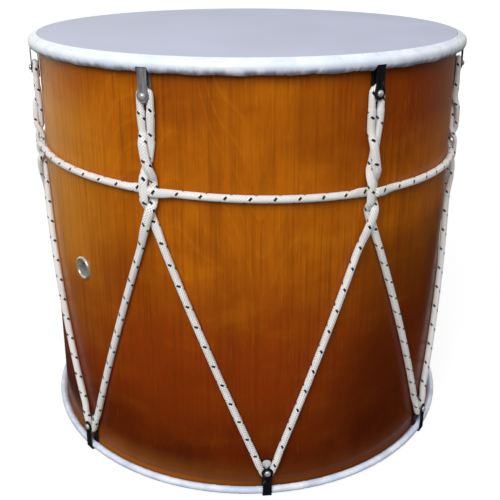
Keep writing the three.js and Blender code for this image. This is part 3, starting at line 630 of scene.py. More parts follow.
def spoke(azimuth, height):
    """Places a piece whose X axis points outwards at an azimuth, at a height in millimetres."""
    return Matrix.Translation((0, 0, height * MM)) @ Matrix.Rotation(azimuth - math.pi / 2, 4, "Z")


# Shell, with the hole that its eyelet fills
RIM_SEGMENTS = 288
SHELL_ROWS = 24
SHELL_EDGE_STEPS = 6
SHELL_TOP = DRUM_HEIGHT - FILM - CLEARANCE
SHELL_FOOT = BOTTOM_RING_FOOT + FILM + CLEARANCE
HOLE_SEGMENTS = 64
CUTTER_PAST_WALL = 20.0
WOOD_SHARP = 40


def make_shell():
    rounding = SHELL_EDGE_ROUNDING
    edge = SHELL_RADIUS - rounding
    profile = [(SHELL_INSIDE, SHELL_FOOT)]
    profile += arc(edge, SHELL_FOOT + rounding, rounding, -90, 0, SHELL_EDGE_STEPS)
    heights = np.linspace(SHELL_FOOT + rounding, SHELL_TOP - rounding, SHELL_ROWS)[1:-1]
    profile += [(SHELL_RADIUS, z) for z in heights]
    profile += arc(edge, SHELL_TOP - rounding, rounding, 0, 90, SHELL_EDGE_STEPS)
    profile += [(SHELL_INSIDE, SHELL_TOP)]
    profile += [(SHELL_INSIDE, z) for z in heights[::-1]]
    shell = mesh_object("wood_shell", turned(profile, RIM_SEGMENTS), WOOD, WOOD_SHARP)

    hole = VENT_BORE_RADIUS + VENT_BARREL_WALL + CLEARANCE
    start = SHELL_INSIDE - CUTTER_PAST_WALL
    end = SHELL_RADIUS + CUTTER_PAST_WALL
    rod = [(0.0, start), (hole, start), (hole, end), (0.0, end)]
    cutter = mesh_object("vent_cutter", pin_mesh(rod, HOLE_SEGMENTS), WOOD, WOOD_SHARP)
    cutter.matrix_world = spoke(0.0, VENT_HEIGHT)
    bpy.context.view_layer.update()
    cut = shell.modifiers.new("vent_hole", "BOOLEAN")
    cut.object = cutter
    cut.operation = "DIFFERENCE"
    cut.solver = "EXACT"
    evaluated = shell.evaluated_get(bpy.context.evaluated_depsgraph_get())
    holed = bpy.data.meshes.new_from_object(evaluated)
    shell.modifiers.clear()
    shell.data = holed
    holed.set_sharp_from_angle(angle=math.radians(WOOD_SHARP))
    bpy.data.objects.remove(cutter)
    stand_for(shell, "lacquered_wood", "shell")


# Playing head, a thin disc with a small bevel at its edge
HEAD_BEVEL = 0.12
HEAD_MIDDLE = 0.02
HEAD_RINGS = (150.0, 110.0, 70.0, 30.0, HEAD_MIDDLE)
HEAD_SHARP = 40


def make_head_piece():
    top = DRUM_HEIGHT
    under = top - FILM
    edge = SHELL_RADIUS
    profile = [(HEAD_MIDDLE, under), (edge, under), (edge, top - HEAD_BEVEL), (edge - HEAD_BEVEL, top)]
    profile += [(radius, top) for radius in HEAD_RINGS]
    add_piece("playing_head", turned(profile, RIM_SEGMENTS), HEAD, HEAD_SHARP, "head_film", "top_head")


# Collars of drawn film, pleated where the film is tucked under
PLEAT_SEGMENTS = 1600
PLEATS = 230
PLEAT_STRAY = 0.45
PLEAT_WIDTHS = (0.5, 1.5)
PLEAT_DEPTHS = (0.15, 1.0)
PLEAT_DEPTH_POWER = 1.6
PLEAT_RUNS = (0.3, 1.0)
STRAP_SLIT = 0.8
FILM_SHARP = 60
# Seed, and depth of the deepest pleat
TOP_PLEATS = (11, 0.7)
BOTTOM_PLEATS = (23, 0.3)
TOP_PLEAT_LIMIT = 0.8
BOTTOM_PLEAT_LIMIT = 0.35
PLEATS_PAST_BEND = 2.0
RIM_HELD = 1.0
SWAY_DEPTH = 0.3
SWAY_WAVES = 37
SWAY_START = 0.6
BOTTOM_WRAP = 110
TUCK_STEPS = 10
CROWN_STEPS = 12
LINING_STEPS = 8
RING_STEPS = 12
WRAP_STEPS = 8
WRAP_LINING_STEPS = 6


def crease_field(seed, deepest):
    """Uneven creases round a rim: how deep each one is at each azimuth, and how far up it runs."""
    chance = np.random.default_rng(seed)
    stray = chance.uniform(-PLEAT_STRAY, PLEAT_STRAY, PLEATS)
    places = (np.arange(PLEATS) + stray) * 2 * math.pi / PLEATS
    widths = chance.uniform(*PLEAT_WIDTHS, PLEATS) / TOP_HOOP_RADIUS
    depths = deepest * chance.uniform(*PLEAT_DEPTHS, PLEATS) ** PLEAT_DEPTH_POWER
    runs = chance.uniform(*PLEAT_RUNS, PLEATS)
    offsets = full_turn(PLEAT_SEGMENTS)[:, None] - places[None, :]
    offsets = (offsets + math.pi) % (2 * math.pi) - math.pi
    return depths * np.exp(-(offsets / widths) ** 2), runs


def hook_room(azimuths, turn):
    """0 where a hook's strap is, rising to 1 beside it."""
    offset = (azimuths - turn + HOOK_STEP / 2) % HOOK_STEP - HOOK_STEP / 2
    distance = np.abs(offset) * TOP_HOOP_RADIUS
    return np.clip((distance - STRAP_WIDTH / 2 - CLEARANCE) / STRAP_SLIT, 0, 1)


def make_top_collar():
    inside = (TOP_SPAN + STRAP) / 2 + CLEARANCE
    outside = inside + FILM
    bend = DRUM_HEIGHT - TOP_COLLAR_SHOULDER
    edge = SHELL_RADIUS + CLEARANCE
    reach = math.hypot(TOP_HOOP_RADIUS - edge, TOP_COLLAR_SHOULDER)
    bearing = math.atan2(TOP_COLLAR_SHOULDER, edge - TOP_HOOP_RADIUS)
    touch = math.degrees(bearing - math.acos(outside / reach))
    foot = DRUM_HEIGHT - TOP_COLLAR_DEPTH
    curl = foot + TUCK_HEIGHT
    wall = TOP_HOOP_RADIUS + outside
    tuck = wall - TUCK_WIDTH
    lip_end = wall - TOP_COLLAR_LIP

    tucked = [(lip_end, foot)] + oval(tuck, curl, TUCK_WIDTH, TUCK_HEIGHT, -90, 0, TUCK_STEPS)
    crown = [(wall, (curl + bend) / 2)] + arc(TOP_HOOP_RADIUS, bend, outside, 0, touch, CROWN_STEPS)
    rim = [(edge, DRUM_HEIGHT), (edge, DRUM_HEIGHT - FILM / math.sin(math.radians(touch)))]
    lining = arc(TOP_HOOP_RADIUS, bend, inside, touch, 0, LINING_STEPS)
    lining += oval(tuck, curl, TUCK_WIDTH - FILM, TUCK_HEIGHT - FILM, 0, -90, LINING_STEPS)
    lining += [(lip_end, foot + FILM)]
    profile = tucked + crown + rim + lining

    creases, runs = crease_field(*TOP_PLEATS)
    sway = SWAY_DEPTH * np.sin(full_turn(PLEAT_SEGMENTS) * SWAY_WAVES + SWAY_START)

    def shift(azimuths, index):
        radius, height = profile[index]
        climb = np.clip((height - foot) / (bend + PLEATS_PAST_BEND - foot), 0, 1)
        drawn = np.sum(creases * np.clip(1 - climb / runs, 0, 1), axis=1)
        drawn = np.minimum(drawn, TOP_PLEAT_LIMIT)
        share = np.clip((curl - height) / TUCK_HEIGHT, 0, 1)
        out = -drawn * math.sqrt(1 - share ** 2) if radius > edge + RIM_HELD else np.zeros_like(azimuths)
        up = (drawn + sway) * share
        beside = hook_room(azimuths, TOP_HOOK_TURN)
        if height < curl:
            lined = index >= len(tucked)
            out = beside * out + (1 - beside) * (wall - FILM * lined - radius)
            up = beside * up + (1 - beside) * (curl - height)
        return out, up

    collar = turned(profile, PLEAT_SEGMENTS, shift)
    add_piece("top_film_collar", collar, TOP_FILM, FILM_SHARP, "collar_film", "top_collar")


def make_bottom_collar():
    half = BOTTOM_RING_WIDTH / 2
    lining = half - FILM
    bend = BOTTOM_BEND_HEIGHT
    crown = BOTTOM_RING_FOOT + BOTTOM_RING_HEIGHT - half
    centre = BOTTOM_HOOP_RADIUS
    shell_side = SHELL_RADIUS + CLEARANCE
    edge = [(centre - half, crown), (centre - half, crown - FILM)]
    outer = arc(centre, bend, half, 180, 360, RING_STEPS)
    outer += arc(centre, crown, half, 0, BOTTOM_WRAP, WRAP_STEPS)
    inner = arc(centre, crown, lining, BOTTOM_WRAP, 0, WRAP_LINING_STEPS)
    inner += arc(centre, bend, lining, 360, 180, LINING_STEPS)
    profile = outer + edge + inner

    creases, _ = crease_field(*BOTTOM_PLEATS)
    drawn = np.minimum(np.sum(creases, axis=1), BOTTOM_PLEAT_LIMIT)

    def shift(azimuths, index):
        level = np.zeros_like(azimuths)
        if index < len(outer):
            return -drawn, level
        if index < len(outer) + len(edge):
            return hook_room(azimuths, BOTTOM_HOOK_TURN) * (shell_side - (centre - half)), level
        return level, level

    ring = turned(profile, PLEAT_SEGMENTS, shift)
    add_piece("bottom_film_ring", ring, RING_FILM, FILM_SHARP, "collar_film", "bottom_collar")


# Hooks and rivets, in millimetres from the middle of a hook's outer eye
STRAP_BEVEL = 0.16
STRAP_CORNERS = 8
EYE_TIP = 0.04
EYE_STEPS = 12
NECK_START = 0.6
NECK_END = 4.6
NECK_STEPS = 6
NECK_POWER = 1.5
STRAIGHT_START = 6.0
STRAIGHT_STEPS = 6
BEND_STEPS = 9
METAL_SHARP = 50
RIVET_CHAMFER = 0.2
RIVET_SEAT = 0.02
RIVET_HEAD_EDGE = 0.15
RIVET_HEAD_CHAMFER = 0.1
RIVET_DOME_STEPS = 9
RIVET_SEGMENTS = 28
ON_AXIS = 0.01
# The top hook whose strap is painted grey as a reflection
REFLECTING_HOOK = ("top", 1)


def eye_half_width(height):
    """Half the width of a leg at a height above the middle of its round end."""
    if height < 0:
        return math.sqrt(EYE_RADIUS ** 2 - height ** 2)
    swell = max(0.0, 1 - (height / NECK_END) ** 2) ** NECK_POWER
    return STRAP_WIDTH / 2 + (EYE_RADIUS - STRAP_WIDTH / 2) * swell


def strap_line(span, bend_top, corner):
    """A strap's middle line from the outer eye to the inner leg's end: place, normal and half width."""
    outer = INNER_LEG + span
    turn = bend_top - STRAP / 2 - corner
    leg = [-EYE_RADIUS * math.cos(a) for a in np.linspace(EYE_TIP, math.pi / 2, EYE_STEPS)]
    leg += list(np.linspace(NECK_START, NECK_END, NECK_STEPS))
    leg += list(np.linspace(STRAIGHT_START, turn, STRAIGHT_STEPS))
    samples = [((outer, z), (1.0, 0.0), eye_half_width(z)) for z in leg]
    for centre, start, end in ((outer - corner, 0, 90), (INNER_LEG + corner, 90, 180)):
        for angle in np.radians(np.linspace(start, end, BEND_STEPS)):
            normal = (math.cos(angle), math.sin(angle))
            place = (centre + corner * normal[0], turn + corner * normal[1])
            samples.append((place, normal, STRAP_WIDTH / 2))
    for z in reversed(leg[:-1]):
        height = z if z >= STRAIGHT_START else z - HOOK_TAIL
        samples.append(((INNER_LEG, height), (-1.0, 0.0), eye_half_width(z)))
    return samples


def strap_mesh(span, bend_top, corner):
    half = STRAP / 2
    points = []
    line = strap_line(span, bend_top, corner)
    for (x, z), (nx, nz), width in line:
        bevel = min(STRAP_BEVEL, width / 2)
        upper = [(width, half - bevel), (width - bevel, half), (bevel - width, half), (-width, half - bevel)]
        lower = [(-across, -through) for across, through in upper]
        for across, through in upper + lower:
            points.append((x + nx * through, across, z + nz * through))
    faces = grid_faces(len(line), STRAP_CORNERS)
    ends = (range(STRAP_CORNERS), reversed(range(len(points) - STRAP_CORNERS, len(points))))
    return points, faces + [tuple(end) for end in ends]


def rivet_mesh(span):
    tail = INNER_LEG - STRAP / 2
    seat = INNER_LEG + span + STRAP / 2 + RIVET_SEAT
    shank = RIVET_RADIUS
    head = RIVET_HEAD_RADIUS
    dome = RIVET_HEAD_HEIGHT + CLEARANCE - RIVET_HEAD_EDGE - RIVET_SEAT
    rim = seat + RIVET_HEAD_EDGE
    profile = [(ON_AXIS, tail), (shank - RIVET_CHAMFER, tail), (shank, tail + RIVET_CHAMFER), (shank, seat)]
    profile += [(head - RIVET_HEAD_CHAMFER, seat), (head, rim)]
    for angle in np.linspace(0, math.pi / 2, RIVET_DOME_STEPS)[1:]:
        profile.append((max(head * math.cos(angle), ON_AXIS), rim + dome * math.sin(angle)))
    return pin_mesh(profile, RIVET_SEGMENTS)


def make_hooks(end, turn, rivet_height, span, bend_top, corner):
    flip = Matrix.Rotation(math.pi, 4, "X") if end == "bottom" else Matrix.Identity(4)
    strap = strap_mesh(span, bend_top, corner)
    rivet = rivet_mesh(span)
    for k in range(1, HOOK_COUNT + 1):
        place = spoke(turn + (k - 1) * HOOK_STEP, rivet_height)
        steel = REFLECTING_STEEL if (end, k) == REFLECTING_HOOK else BLACK_STEEL
        names = (f"{end}_strap_{k}", f"{end}_rivet_head_{k}")
        nodes = (f"{end}_hook_{k}", f"{end}_rivet_{k}")
        add_piece(names[0], strap, steel, METAL_SHARP, "black_steel", nodes[0], place=place @ flip)
        add_piece(names[1], rivet, BRIGHT_STEEL, METAL_SHARP, "bright_steel", nodes[1], place=place)


# Eyelet of the vent. Its rolled lip is given from the inner end of the barrel: outwards and along
VENT_SEAT = 0.05
VENT_PAST_WALL = 2.5
FLANGE_UNDERCUT = (0.3, 0.25)
FLANGE_EDGE = 0.35
FLANGE_DOME = VENT_FLANGE_HEIGHT - 0.1
FLANGE_DOME_STEPS = 19
FLANGE_DOME_POWER = 0.9
BORE_START = 0.3
BORE_END = 0.4
ROLLED_LIP = ((0.0, -1.0), (1.0, -0.9), (1.4, -0.4), (1.0, 0.0), (0.0, 0.0))
VENT_SEGMENTS = 72


def make_vent():
    seat = SHELL_RADIUS + VENT_SEAT
    lip = SHELL_INSIDE - VENT_PAST_WALL
    bore = VENT_BORE_RADIUS
    barrel = bore + VENT_BARREL_WALL
    flange = VENT_FLANGE_RADIUS
    rim = seat + FLANGE_EDGE
    profile = [(barrel, lip), (barrel, seat), (flange - FLANGE_UNDERCUT[0], seat - FLANGE_UNDERCUT[1])]
    profile += [(flange, seat), (flange, rim)]
    for angle in np.linspace(0, math.pi, FLANGE_DOME_STEPS)[1:-1]:
        radius = (flange + bore) / 2 + (flange - bore) / 2 * math.cos(angle)
        profile.append((radius, rim + FLANGE_DOME * math.sin(angle) ** FLANGE_DOME_POWER))
    profile += [(bore, seat + BORE_START), (bore, lip - BORE_END)]
    profile += [(barrel + out, lip + along) for out, along in ROLLED_LIP]
    eyelet = pin_mesh(profile, VENT_SEGMENTS)
    place = spoke(0.0, VENT_HEIGHT)
    add_piece("vent_eyelet", eyelet, NICKEL, METAL_SHARP, "nickel", "vent_grommet", place=place)


# Rope routes on the unrolled shell. A point of a route is its way round, its height, the distance of the
# rope's middle from the axis, its half thickness and its half width.
UPPER_RUN = UPPER_CROSSING - CORD_ROOM
LOWER_RUN = LOWER_CROSSING - CORD_ROOM
# From a strand's upper crossing to its lower one: height from the cord, shares of the spread and the lift
WEAVE = (
    (UPPER_CROSSING, 0, 1),
    (CORD_ROOM + UPPER_RUN * 0.69, 0.5, 0.95),
    (CORD_ROOM + UPPER_RUN * 0.37, 0.96, 0.5),
    (CORD_ROOM, 1, 0),
    (-CORD_ROOM, 1, 0),
    (-CORD_ROOM - LOWER_RUN * 0.35, 0.96, 0.5),
    (-CORD_ROOM - LOWER_RUN * 0.64, 0.5, 0.95),
    (-LOWER_CROSSING, 0, 1),
)
# From the top hook to the upper crossing: share of the height, and diameters to the side
UPPER_LEGS = ((0.7, 0.68), (0.46, 0.6), (0.24, 0.37))
LEG_LEVEL = 0.9
# From a bottom hook upwards, in loop radii
LEG_FREE = 5.0
LEG_HELD = 2.4
# The cord past a pair of strands: diameters from the middle, distance from the axis, half thickness
CORD_WEAVE = (
    (-3.4, ROPE_LAY, ROPE_RADIUS),
    (-1.8, ROPE_LOW, ROPE_HALF_FLAT),
    (-0.5, ROPE_LOW, ROPE_HALF_FLAT),
    (0.5, ROPE_HIGH, ROPE_HALF_FLAT),
    (1.7, ROPE_HIGH - 0.2 * CROSS_LIFT, ROPE_HALF_FLAT),
    (4.2, ROPE_LAY, ROPE_RADIUS),
)
CORD_BEND = math.radians(5)
LOOP_STEPS = 7
ROUTE_STEPS = 16
# The soft strands of a pair are pressed closer together at the cord than their solids are
PAIR_SPREAD = 0.5 * ROPE_DIAMETER


def lerp(start, end, share):
    return start + (end - start) * share


def around(azimuth):
    return azimuth * ROPE_LAY


def top_azimuth(i):
    return TOP_HOOK_TURN + i * HOOK_STEP


def cord_height(azimuth):
    return CORD_HEIGHT - CORD_DROP * np.cos(azimuth - CORD_LOW_SIDE)


def route_point(x, y, radius, flat, wide=ROPE_RADIUS):
    return (x, y, radius, flat, wide)


def flat_in_hook(span):
    return min((span - STRAP) / 2 - CLEARANCE, ROPE_RADIUS)


def touch_angle(point, centre, side):
    x = point[0] - centre[0]
    y = point[1] - centre[1]
    return math.atan2(y, x) + side * math.acos(LOOP_RADIUS / math.hypot(x, y))


def loop_point(centre, angle):
    return (centre[0] + LOOP_RADIUS * math.cos(angle), centre[1] + LOOP_RADIUS * math.sin(angle))


def loop_route(centre, radius, span, start, end):
    angles = np.linspace(start, end, LOOP_STEPS)
    flat = flat_in_hook(span)
    return [route_point(*loop_point(centre, a), radius, flat, LOOP_HALF_WIDTH) for a in angles]


def strand_route(i, side):
    """A strand from a top hook to its lower crossing. The left one, side -1, lies over the right one."""
    middle = around(top_azimuth(i))
    cord = cord_height(top_azimuth(i))
    upper = cord + UPPER_CROSSING
    crossing = ROPE_HIGH if side < 0 else ROPE_LOW
    beside = ROPE_LOW if side < 0 else ROPE_HIGH
    levels = (
        (TOP_HOOP_RADIUS, flat_in_hook(TOP_SPAN)),
        (ROPE_LAY, ROPE_RADIUS),
        (lerp(ROPE_LOW, crossing, LEG_LEVEL), ROPE_HALF_FLAT),
    )
    route = []
    for (share, apart), (radius, flat) in zip(UPPER_LEGS, levels):
        height = lerp(upper, TOP_RIVET_HEIGHT, share)
        route.append(route_point(middle + side * apart * ROPE_DIAMETER, height, radius, flat))
    for height, across, level in WEAVE:
        radius = lerp(beside, crossing, level)
        route.append(route_point(middle - side * across * PAIR_SPREAD, cord + height, radius, ROPE_HALF_FLAT))
    return route


def top_centre(i):
    return (around(top_azimuth(i)), TOP_RIVET_HEIGHT)


def bottom_centre(i):
    return (around(BOTTOM_HOOK_TURN + i * HOOK_STEP), BOTTOM_RIVET_HEIGHT)


def lower_crossing(i):
    return (around(top_azimuth(i)), cord_height(top_azimuth(i)) - LOWER_CROSSING)


def leg_length(i, touch):
    return math.dist(lower_crossing(i), touch)


def on_leg(i, touch, distance, radius, flat):
    start = lower_crossing(i)
    share = distance / leg_length(i, touch)
    return route_point(lerp(start[0], touch[0], share), lerp(start[1], touch[1], share), radius, flat)


def upper_leg(i, side, touch):
    lifted = lerp(ROPE_LAY, ROPE_HIGH if side < 0 else ROPE_LOW, LEG_LIFT)
    return [
        on_leg(i, touch, LEG_NEAR, lifted, ROPE_HALF_FLAT),
        on_leg(i, touch, LEG_FAR, ROPE_LAY, ROPE_RADIUS),
    ]


def lower_leg(i, touch):
    length = leg_length(i, touch)
    held = flat_in_hook(BOTTOM_SPAN)
    return [
        on_leg(i, touch, length - LEG_FREE * LOOP_RADIUS, ROPE_LAY, ROPE_RADIUS),
        on_leg(i, touch, length - LEG_HELD * LOOP_RADIUS, BOTTOM_HOOP_RADIUS, held),
    ]


def right_touch(i):
    centre = bottom_centre(i + 1)
    return loop_point(centre, touch_angle(lower_crossing(i), centre, 1))


def lacing_route():
    """The whole lacing, from the knot round every hook and back to the knot."""
    last = LACING_START + HOOK_COUNT - 1
    touch = right_touch(last)
    middle = leg_length(last, touch) * LACING_KNOT_AT

    def on_last(distance, radius):
        return on_leg(last, touch, middle + distance, radius, ROPE_RADIUS)

    start = [on_last(KNOT_REACH, KNOT_LAY), on_last(KNOT_REACH + KNOT_LENGTH / 2, KNOT_LAY)]
    start += lower_leg(last, touch)
    route = [(point[0] - around(2 * math.pi),) + point[1:] for point in start]
    for i in range(LACING_START, last + 1):
        under = bottom_centre(i)
        leave = touch_angle(lower_crossing(i), under, -1)
        arrive = touch_angle(lower_crossing(i - 1), under, 1)
        route += loop_route(under, BOTTOM_HOOP_RADIUS, BOTTOM_SPAN, arrive, leave + 2 * math.pi)
        left = loop_point(under, leave)
        rising = strand_route(i, -1)
        falling = strand_route(i, 1)
        route += (upper_leg(i, -1, left) + lower_leg(i, left))[::-1] + rising[::-1]
        over = top_centre(i)
        arrive = touch_angle(rising[0], over, -1) + 2 * math.pi
        leave = touch_angle(falling[0], over, 1)
        route += loop_route(over, TOP_HOOP_RADIUS, TOP_SPAN, arrive, leave)
        right = right_touch(i)
        route += falling + upper_leg(i, 1, right)
        if i < last:
            route += lower_leg(i, right)
    route.append(on_last(-KNOT_REACH - 2 * KNOT_LENGTH, ROPE_LAY))
    route.append(on_last(-KNOT_REACH - KNOT_LENGTH / 2, KNOT_LAY))
    route.append(on_last(-KNOT_REACH, KNOT_LAY))
    return route


def cord_route():
    """The belly cord, from its knot under the left strand of each pair and over the right one."""
    knot = top_azimuth(CORD_KNOT_AFTER) + HOOK_STEP / 2
    reach = KNOT_REACH / KNOT_LAY
    from_knot = ((0, KNOT_LAY), (CORD_BEND, (KNOT_LAY + ROPE_LAY) / 2), (2 * CORD_BEND, ROPE_LAY))

    def at(azimuth, radius, flat):
        return route_point(around(azimuth), cord_height(azimuth), radius, flat)

    route = [at(knot + reach + away, radius, ROPE_RADIUS) for away, radius in from_knot]
    last = CORD_KNOT_AFTER + HOOK_COUNT
    for i in range(CORD_KNOT_AFTER + 1, last + 1):
        for diameters, radius, flat in CORD_WEAVE:
            route.append(at(top_azimuth(i) + diameters * ROPE_DIAMETER / ROPE_LAY, radius, flat))
        if i < last:
            route.append(at(top_azimuth(i) + HOOK_STEP / 2, ROPE_LAY, ROPE_RADIUS))
    end = knot + 2 * math.pi - reach
    return route + [at(end - away, radius, ROPE_RADIUS) for away, radius in reversed(from_knot)]


def spline(points, index, shares):
    """Places on one stretch of a centripetal spline through the points."""
    p1, p2 = points[index:index + 2]
    p0 = points[index - 1] if index > 0 else 2 * p1 - p2
    p3 = points[index + 2] if index + 2 < len(points) else 2 * p2 - p1
    gaps = [math.sqrt(np.linalg.norm(b - a)) for a, b in ((p0, p1), (p1, p2), (p2, p3))]
    slope1 = ((p1 - p0) / gaps[0] - (p2 - p0) / (gaps[0] + gaps[1]) + (p2 - p1) / gaps[1]) * gaps[1]
    slope2 = ((p2 - p1) / gaps[1] - (p3 - p1) / (gaps[1] + gaps[2]) + (p3 - p2) / gaps[2]) * gaps[1]
    t = shares[:, None]
    square = 3 * (p2 - p1) - 2 * slope1 - slope2
    cube = 2 * (p1 - p2) + slope1 + slope2
    return p1 + slope1 * t + square * t ** 2 + cube * t ** 3


def steady_slopes(values):
    """Slopes that never carry a curve past its own points."""
    slopes = np.zeros(len(values))
    for i in range(1, len(values) - 1):
        rise = values[i] - values[i - 1]
        follow = values[i + 1] - values[i]
        if rise * follow > 0:
            slopes[i] = 2 * rise * follow / (rise + follow)
    return slopes


def fine_route(route):
    """A route as places on the drum, half thicknesses and half widths, at short equal steps."""
    table = np.array(route)
    points = table[:, :3]
    slopes = steady_slopes(points[:, 2])
    shares = np.linspace(0, 1, ROUTE_STEPS, endpoint=False)
    ease = shares ** 2 * (3 - 2 * shares)
    rows = []
    for i in range(len(points) - 1):
        place = spline(points, i, shares)
        bend = shares * (1 - shares) * (slopes[i] * (1 - shares) - slopes[i + 1] * shares)
        place[:, 2] = lerp(points[i, 2], points[i + 1, 2], ease) + bend
        sizes = lerp(table[i, 3:], table[i + 1, 3:], ease[:, None])
        rows.append(np.hstack([place, sizes]))
    rows.append(table[-1:])
    way, height, radius, flats, wides = np.concatenate(rows).T
    places = np.stack(round_drum(radius, way / ROPE_LAY, height), axis=1)
    return even_steps(places, flats, wides)


# Rope meshes: each plait of the braid gets three points along and across
ROPE_STEP = ROPE_CELL / 3
ROPE_SIDES = 3 * ROPE_CARRIERS
ROPE_SHARP = 60
BRAID_RELIEF = 0.34
BRAID_MIDDLE = 0.75
# Times this, a place is its level direction from the axis
LEVEL = np.array([1.0, 1.0, 0.0])


def even_steps(places, flats, wides):
    lengths = np.concatenate([[0], np.cumsum(np.linalg.norm(np.diff(places, axis=0), axis=1))])
    marks = np.linspace(0, lengths[-1], int(lengths[-1] / ROPE_STEP))
    resampled = np.stack([np.interp(marks, lengths, places[:, k]) for k in range(3)], axis=1)
    return resampled, np.interp(marks, lengths, flats), np.interp(marks, lengths, wides)


def braid_height(along, turn):
    """1 on the crown of a plait, falling to 0 at its sides, as in the rope's material."""
    right = turn * ROPE_CARRIERS + along / ROPE_CELL
    left = turn * ROPE_CARRIERS - along / ROPE_CELL
    under = (np.floor(right) + np.floor(left)) % 2 > 0.5
    return 1 - 4 * (np.where(under, left, right) % 1 - 0.5) ** 2


def square_to(along, sides):
    """The sides, turned square to the directions along a rope and given unit length."""
    sides = sides - along * np.sum(along * sides, axis=-1, keepdims=True)
    return sides / np.linalg.norm(sides, axis=-1, keepdims=True)


def rope_mesh(places, flats, wides, outward=None):
    """A closed rope with a flattened round section, whose thickness is measured along outward."""
    along = np.gradient(places, axis=0)
    along /= np.linalg.norm(along, axis=1)[:, None]
    outward = square_to(along, places * LEVEL if outward is None else outward)
    aside = np.cross(along, outward)
    count = len(places)
    sides = np.arange(ROPE_SIDES)
    angles = full_turn(ROPE_SIDES)
    turns = (sides + 0.5) / ROPE_SIDES
    steps = np.arange(count) * ROPE_STEP
    relief = BRAID_RELIEF * (braid_height(steps[:, None], turns[None, :]) - BRAID_MIDDLE)
    width = ((wides[:, None] + relief) * np.cos(angles))[:, :, None]
    depth = ((flats[:, None] + relief) * np.sin(angles))[:, :, None]
    points = (places[:, None, :] + aside[:, None, :] * width + outward[:, None, :] * depth).reshape(-1, 3)
    faces = grid_faces(count, ROPE_SIDES)
    next_turns = turns + 1 / ROPE_SIDES
    u = np.stack([steps[:-1], steps[:-1], steps[1:], steps[1:]], axis=1)[:, None, :]
    v = np.stack([turns, next_turns, next_turns, turns], axis=1)[None, :, :]
    uvs = np.stack(np.broadcast_arrays(u, v), axis=3).reshape(-1, 2)
    for i, order in ((0, sides), (count - 1, sides[::-1])):
        faces.append((i * ROPE_SIDES + order).tolist())
        uvs = np.concatenate([uvs, np.tile([steps[i], 0.5], (ROPE_SIDES, 1))])
    return points, faces, uvs


# The soft rope fills the room round its solid: it is a little fatter, wider where the cord presses it flat,
# and thicker where two strands cross
ROPE_SWELL = 0.08
PRESSED_WIDER = 0.75
CROSSED_WIDER = 0.8
CROSSED_THICKER = 0.5
CROSSED_FROM = CORD_ROOM + 1.0
CROSSED_RUN = 4.0
SHELL_GAP = 0.12
NARROWED = 0.05


def swollen(sampled, crossed=True):
    places, flats, wides = sampled
    pressed = np.clip((ROPE_RADIUS - flats) / (ROPE_RADIUS - ROPE_HALF_FLAT), 0, 1)
    pressed = np.where(wides < ROPE_RADIUS - NARROWED, 0.0, pressed)
    from_cord = np.abs(places[:, 2] - cord_height(np.arctan2(places[:, 0], -places[:, 1])))
    away = np.clip((from_cord - CROSSED_FROM) / CROSSED_RUN, 0, 1) * pressed * crossed
    thick = flats + ROPE_SWELL + CROSSED_THICKER * away
    wide = wides + ROPE_SWELL + PRESSED_WIDER * (pressed - away) + CROSSED_WIDER * away
    radii = np.hypot(places[:, 0], places[:, 1])
    lifted = np.maximum(radii, SHELL_RADIUS + SHELL_GAP + thick) / radii
    places = places * np.stack([lifted, lifted, np.ones_like(lifted)], axis=1)
    return places, thick, wide


# Knots: two coils round a core, each with a tail that lies on the shell
KNOT_ROPE = 2.25
KNOT_CORE = 1.9
KNOT_TURNS = 2.25
KNOT_TAIL = 9.0
COIL_STEPS = 96
COIL_START = KNOT_ROPE + 0.4
COIL_END = KNOT_LENGTH / 2 - KNOT_ROPE - 0.2
TAIL_STEPS = 24
TAIL_START = 0.04
CORE_STEPS = 40
CORE_REACH = KNOT_REACH + 2.0


def knot_parts(middle, axis):
    """A double fisherman's knot on a straight line: paths, the sides that they face and their radii."""
    axis = axis / np.linalg.norm(axis)
    outward = square_to(axis, middle * LEVEL)
    parts = []
    for side in (-1.0, 1.0):
        aside = np.cross(axis, outward) * side
        angles = np.linspace(math.pi * (1 - 2 * KNOT_TURNS), math.pi, COIL_STEPS)[:, None]
        lengths = side * np.linspace(COIL_START, COIL_END, COIL_STEPS)[:, None]
        facing = np.cos(angles) * outward - np.sin(angles) * aside
        coil = middle + lengths * axis + (KNOT_RADIUS - KNOT_ROPE) * facing
        tail = coil[-1] + np.linspace(TAIL_START, 1, TAIL_STEPS)[:, None] * KNOT_TAIL * aside
        facing = np.concatenate([facing, np.repeat(facing[-1:], TAIL_STEPS, axis=0)])
        parts.append((np.concatenate([coil, tail]), facing, KNOT_ROPE))
    core = middle + np.linspace(-CORE_REACH, CORE_REACH, CORE_STEPS)[:, None] * axis
    parts.append((core, np.repeat(outward[None, :], CORE_STEPS, axis=0), KNOT_CORE))
    return parts


def knot_mesh(sampled):
    """The knot that joins the two ends of a sampled rope."""
    first, last = sampled[0][-1], sampled[0][0]
    points, faces, uvs = [], [], []
    base = 0
    for path, facing, radius in knot_parts((first + last) / 2, last - first):
        size = np.full(len(path), radius)
        part_points, part_faces, part_uvs = rope_mesh(path, size, size, outward=facing)
        faces += [[index + base for index in face] for face in part_faces]
        points.append(part_points)
        uvs.append(part_uvs)
        base += len(part_points)
    return np.concatenate(points), faces, np.concatenate(uvs)


def make_ropes():
    lacing = fine_route(lacing_route())
    cord = fine_route(cord_route())
    pieces = (
        ("lacing", rope_mesh(*swollen(lacing)), "lacing_rope", "drum"),
        ("belly_rope", rope_mesh(*swollen(cord, crossed=False)), "belly_cord", "belly_cord"),
        ("lacing_joint", knot_mesh(lacing), "lacing_knot", "drum"),
        ("belly_joint", knot_mesh(cord), "belly_cord_knot", "belly_cord"),
    )
    for name, parts, node, body in pieces:
        add_piece(name, parts, ROPE, ROPE_SHARP, "rope", node, body)


